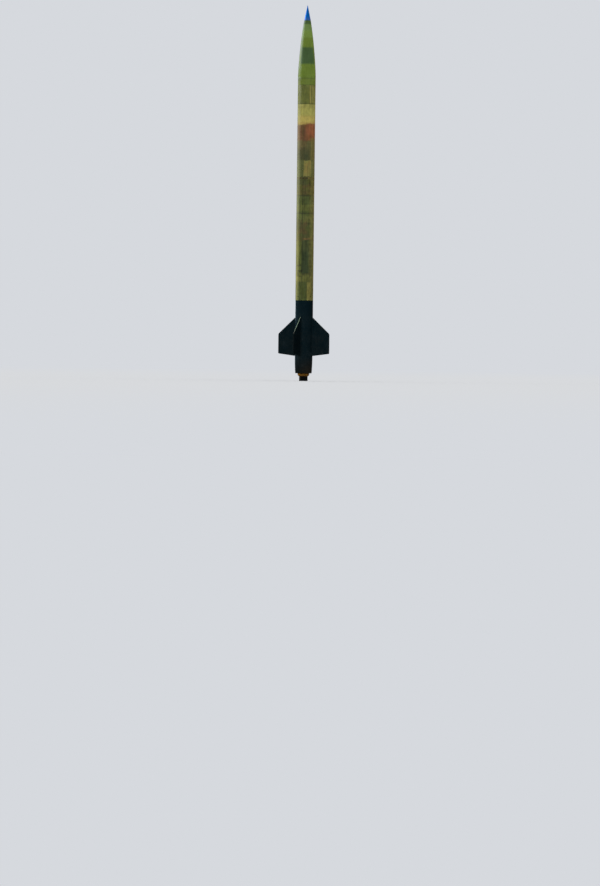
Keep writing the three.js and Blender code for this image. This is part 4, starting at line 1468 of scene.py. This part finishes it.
def make_fittings():
    """Screws, pins and switches. Their templates point out along +X, or down for the tail's screws."""
    tree = make_fittings_tree()
    outward = Matrix.Rotation(math.pi / 2, 4, "Y")
    down = Matrix.Rotation(math.pi, 4, "X")
    pin_radius, pin_foot = 2.6 * MM, -0.5 * MM
    pin = turned(eased([
        (0, pin_foot), (pin_radius, pin_foot), (pin_radius, 1.0 * MM), (0, 1.3 * MM),
    ], 0.5 * MM, closed=False), closed=False, around=20).placed(outward)
    bezel_wall = tube_profile(3.1 * MM, 5.0 * MM, -0.6 * MM, 0.8 * MM)
    bezel = turned(eased(bezel_wall, 0.3 * MM), around=32).placed(outward)
    bay_screw = socket_head(3.6 * MM, 2.0 * MM, 1.3 * MM).placed(outward)
    switch = socket_head(2.9 * MM, 0.5 * MM, 1.2 * MM).placed(outward)
    tail_screw = socket_head(3.4 * MM, 0.5 * MM, 1.4 * MM).placed(down)
    payload_steel = ("payload_section", "steel", STEEL)
    plastic = ("black_plastic", ACETAL)
    pins = ("glass_tube", PIN_NYLON)
    # Name, fitting, count, first one in degrees round, degrees between them, height, body and finish
    rows = (
        ("bay_fixing_screws", bay_screw, 4, -20, 90, 1.870, *payload_steel),
        ("nose_shear_pins", pin, 3, 36, 120, 2.556, "payload_section", *pins),
        ("bay_shear_pins", pin, 3, 70, 120, 1.742, "booster", *pins),
        ("fin_can_screws", bay_screw, 4, 45, 90, 0.748, "booster", *plastic),
        ("switch_bezels", bezel, 2, -18, 26.5, BAND_MIDDLE, "payload_section", *plastic),
        ("switch_screws", switch, 2, -18, 26.5, BAND_MIDDLE, *payload_steel),
        ("tail_wall_screws", tail_screw, 6, 0, 60, low("tail_cone"), "booster", "steel", STEEL),
    )
    for name, shape, count, first, step, height, body, slot, material in rows:
        obj = grown(name, tree, {
            "Count": count, "Ring radius": TAIL_SCREW_RING if shape is tail_screw else TUBE_RADIUS,
            "Height": height, "First angle": math.radians(first - 90) + VIEW_AZIMUTH,
            "Step angle": math.radians(step), "Material": material,
        }, make_mesh(name, shape))
        smooth(obj.data)
        settle(obj, body, slot, material)


# Floor, light and camera

FLOOR_HALF = 250.0
FLOOR_TONE = colour(226, 228, 231)
FLOOR_FADES_FROM = 5.0
FLOOR_FADES_TO = 40.0
BACKGROUND = colour(214, 217, 222)
NO_LIGHT = colour(0, 0, 0)
WHITE = (1.0, 1.0, 1.0)


def make_floor():
    """A pale floor that fades into the background far from the rocket."""
    half = FLOOR_HALF
    corners = [(-half, -half, 0), (half, -half, 0), (half, half, 0), (-half, half, 0)]
    floor = from_shape("floor", Shape(corners, [(0, 1, 2, 3)]))
    finish = Finish("pale_floor", Roughness=0.9, Specular_IOR_Level=0.0, Emission_Strength=1.0)
    graph = finish.graph
    far = graph.ramp(finish.radius, FLOOR_FADES_FROM, FLOOR_FADES_TO)
    finish.feed("Base Color", graph.blend(far, FLOOR_TONE, NO_LIGHT))
    finish.feed("Emission Color", graph.blend(far, NO_LIGHT, BACKGROUND))
    floor.data.materials.append(finish.material)
    floor.visible_glossy = False
    return floor


def make_background():
    """A pale background for the camera, an even light for surfaces, and a dim surround for their gloss."""
    world = bpy.data.worlds.new("studio")
    bpy.context.scene.world = world
    world.use_nodes = True
    world.node_tree.nodes.clear()
    graph = Graph(world.node_tree)
    seen = graph.node("ShaderNodeBackground", {"Color": BACKGROUND, "Strength": 1.0})
    even = graph.node("ShaderNodeBackground", {"Color": (*WHITE, 1.0), "Strength": 0.9})
    dim = graph.node("ShaderNodeBackground", {"Color": (0.9, 0.96, 1.0, 1.0), "Strength": 0.07})
    rays = graph.node("ShaderNodeLightPath").outputs

    def choice(share, otherwise, chosen):
        mixed = graph.node("ShaderNodeMixShader")
        for socket, value in zip(mixed.inputs, (share, otherwise.outputs[0], chosen.outputs[0])):
            graph.set(socket, value)
        return mixed

    unseen = choice(rays["Is Glossy Ray"], even, dim)
    output = graph.node("ShaderNodeOutputWorld")
    graph.set(output.inputs["Surface"], choice(rays["Is Camera Ray"], unseen, seen).outputs[0])


def facing(direction):
    """Rotation of a light or camera that looks along a direction."""
    return direction.to_track_quat("-Z", "Y").to_matrix().to_4x4()


def light_direction(view_angle, elevation):
    """Unit vector towards a light, by degrees round from the photographed side and degrees up."""
    outward = on_skin(view_angle, 0)[1]
    up = math.radians(elevation)
    return outward * math.cos(up) + UP * math.sin(up)


def add_sun(name, view_angle, elevation, strength, spread, tint):
    data = bpy.data.lights.new(name, "SUN")
    data.energy = strength
    data.angle = math.radians(spread)
    data.color = tint
    light = new_object(name, data)
    light.matrix_world = facing(-light_direction(view_angle, elevation))
    return light


def add_soft_box(name, view_angle, distance, middle, width, height, radiance, tint):
    """An upright soft box that faces the rocket and shows only as gloss on it."""
    data = bpy.data.lights.new(name, "AREA")
    data.shape = "RECTANGLE"
    data.size = width
    data.size_y = height
    data.energy = radiance * math.pi * width * height
    data.color = tint
    light = new_object(name, data)
    direction = light_direction(view_angle, 0)
    place = direction * distance + UP * middle
    light.matrix_world = Matrix.Translation(place) @ facing(-direction)
    light.visible_camera = False
    light.visible_diffuse = False
    return light


def light_only(light, name, pieces, state):
    """Light linking: the light reaches only these pieces, or all but these."""
    linked = bpy.data.collections.new(name)
    for item in pieces:
        linked.objects.link(item)
    light.light_linking.receiver_collection = linked
    for item in linked.collection_objects:
        item.light_linking.link_state = state


def make_lights(floor):
    """A soft key from the left and behind, a fill for the black pieces, a glint from above, and soft boxes
    for the gloss."""
    key = add_sun("key_light", -118, 32, 1.6, 26, (1.0, 0.9, 0.8))
    key.visible_glossy = False
    light_only(key, "spared_floor", [floor], "EXCLUDE")
    fill = add_sun("black_fill_light", -14, 15, 3.0, 30, WHITE)
    fill.visible_glossy = False
    laminates = (TUBE_LAMINATE, SHADED_FIN_LAMINATE, TAIL_LAMINATE)
    blacks = [item for item in bpy.data.objects if item.type == "MESH" and item.data.materials
              and item.data.materials[0] in laminates]
    light_only(fill, "black_pieces", blacks, "INCLUDE")
    glint = add_sun("glint_light", -127, 60, 1.6, 9, (1.0, 0.98, 0.9))
    glint.visible_diffuse = False

    # Name, degrees round, distance, middle, width, height, radiance, tint, and a link to the black pieces
    side, near, wide = -114, 1.6, 1.76
    soft_boxes = (
        ("edge_box_tail", side, near, 0.85, wide, 1.5, 1.4, (0.45, 0.8, 1.1), ("black_gloss", "INCLUDE")),
        ("edge_box_rim", -157, near, 0.85, 0.5, 1.5, 6.5, (0.75, 0.97, 1.05), ("black_rims", "INCLUDE")),
        ("edge_box_low", side, near, 0.8, wide, 1.2, 1.6, (1.0, 0.93, 0.46), ("spared_blacks", "EXCLUDE")),
        ("edge_box_middle", side, near, 2.05, wide, 1.3, 1.5, (1.0, 0.98, 0.7), None),
        ("edge_box_top", side, near, 3.7, wide, 1.6, 1.8, (0.94, 1.0, 1.2), None),
        ("side_box", 150, 6.0, 2.1, 3.0, 4.0, 0.3, (1.0, 0.4, 0.22), None),
    )
    for *settings, link in soft_boxes:
        box = add_soft_box(*settings)
        if link:
            group, state = link
            light_only(box, group, blacks, state)


def make_camera():
    """The photograph's camera: it sets the rocket's base and point on their pixels, lean included."""
    data = bpy.data.cameras.new("photo_camera")
    camera = new_object("photo_camera", data)
    outward = on_skin(0, 0)[1]
    place = outward * CAMERA_DISTANCE + UP * CAMERA_HEIGHT
    to_base = (-place).normalized()
    to_point = (UP * ROCKET_TOP - place).normalized()

    def through(pixel, focal):
        x = (pixel[0] - FRAME_WIDTH / 2) / focal
        y = (FRAME_HEIGHT / 2 - pixel[1]) / focal
        return Vector((x, y, -1)).normalized()

    # The focal length in pixels follows from the angle between the two pixels, in a few rounds
    rounds = 4
    wanted = to_base.angle(to_point)
    focal = math.dist(BASE_PIXEL, POINT_PIXEL) * CAMERA_DISTANCE / ROCKET_TOP
    for _ in range(rounds):
        focal *= through(BASE_PIXEL, focal).angle(through(POINT_PIXEL, focal)) / wanted

    def frame_of(first, second):
        side = first.cross(second).normalized()
        return Matrix((first, side, first.cross(side))).transposed()

    in_camera = frame_of(through(BASE_PIXEL, focal), through(POINT_PIXEL, focal))
    in_world = frame_of(to_base, to_point)
    turn = in_world @ in_camera.transposed()
    camera.matrix_world = Matrix.Translation(place) @ turn.to_4x4()
    data.sensor_fit = "AUTO"
    data.sensor_width = SENSOR_LONG_SIDE
    data.lens = focal * SENSOR_LONG_SIDE / FRAME_HEIGHT
    data.clip_start = CAMERA_SEES_FROM
    data.clip_end = CAMERA_SEES_TO
    bpy.context.scene.camera = camera


make_camera()
make_nose()
make_payload_section()
make_booster_tubes()
make_fins()
make_tail()
make_motor_end()
make_rail_buttons()
make_fittings()
make_background()
make_lights(make_floor())
bpy.context.scene.view_settings.view_transform = "Standard"
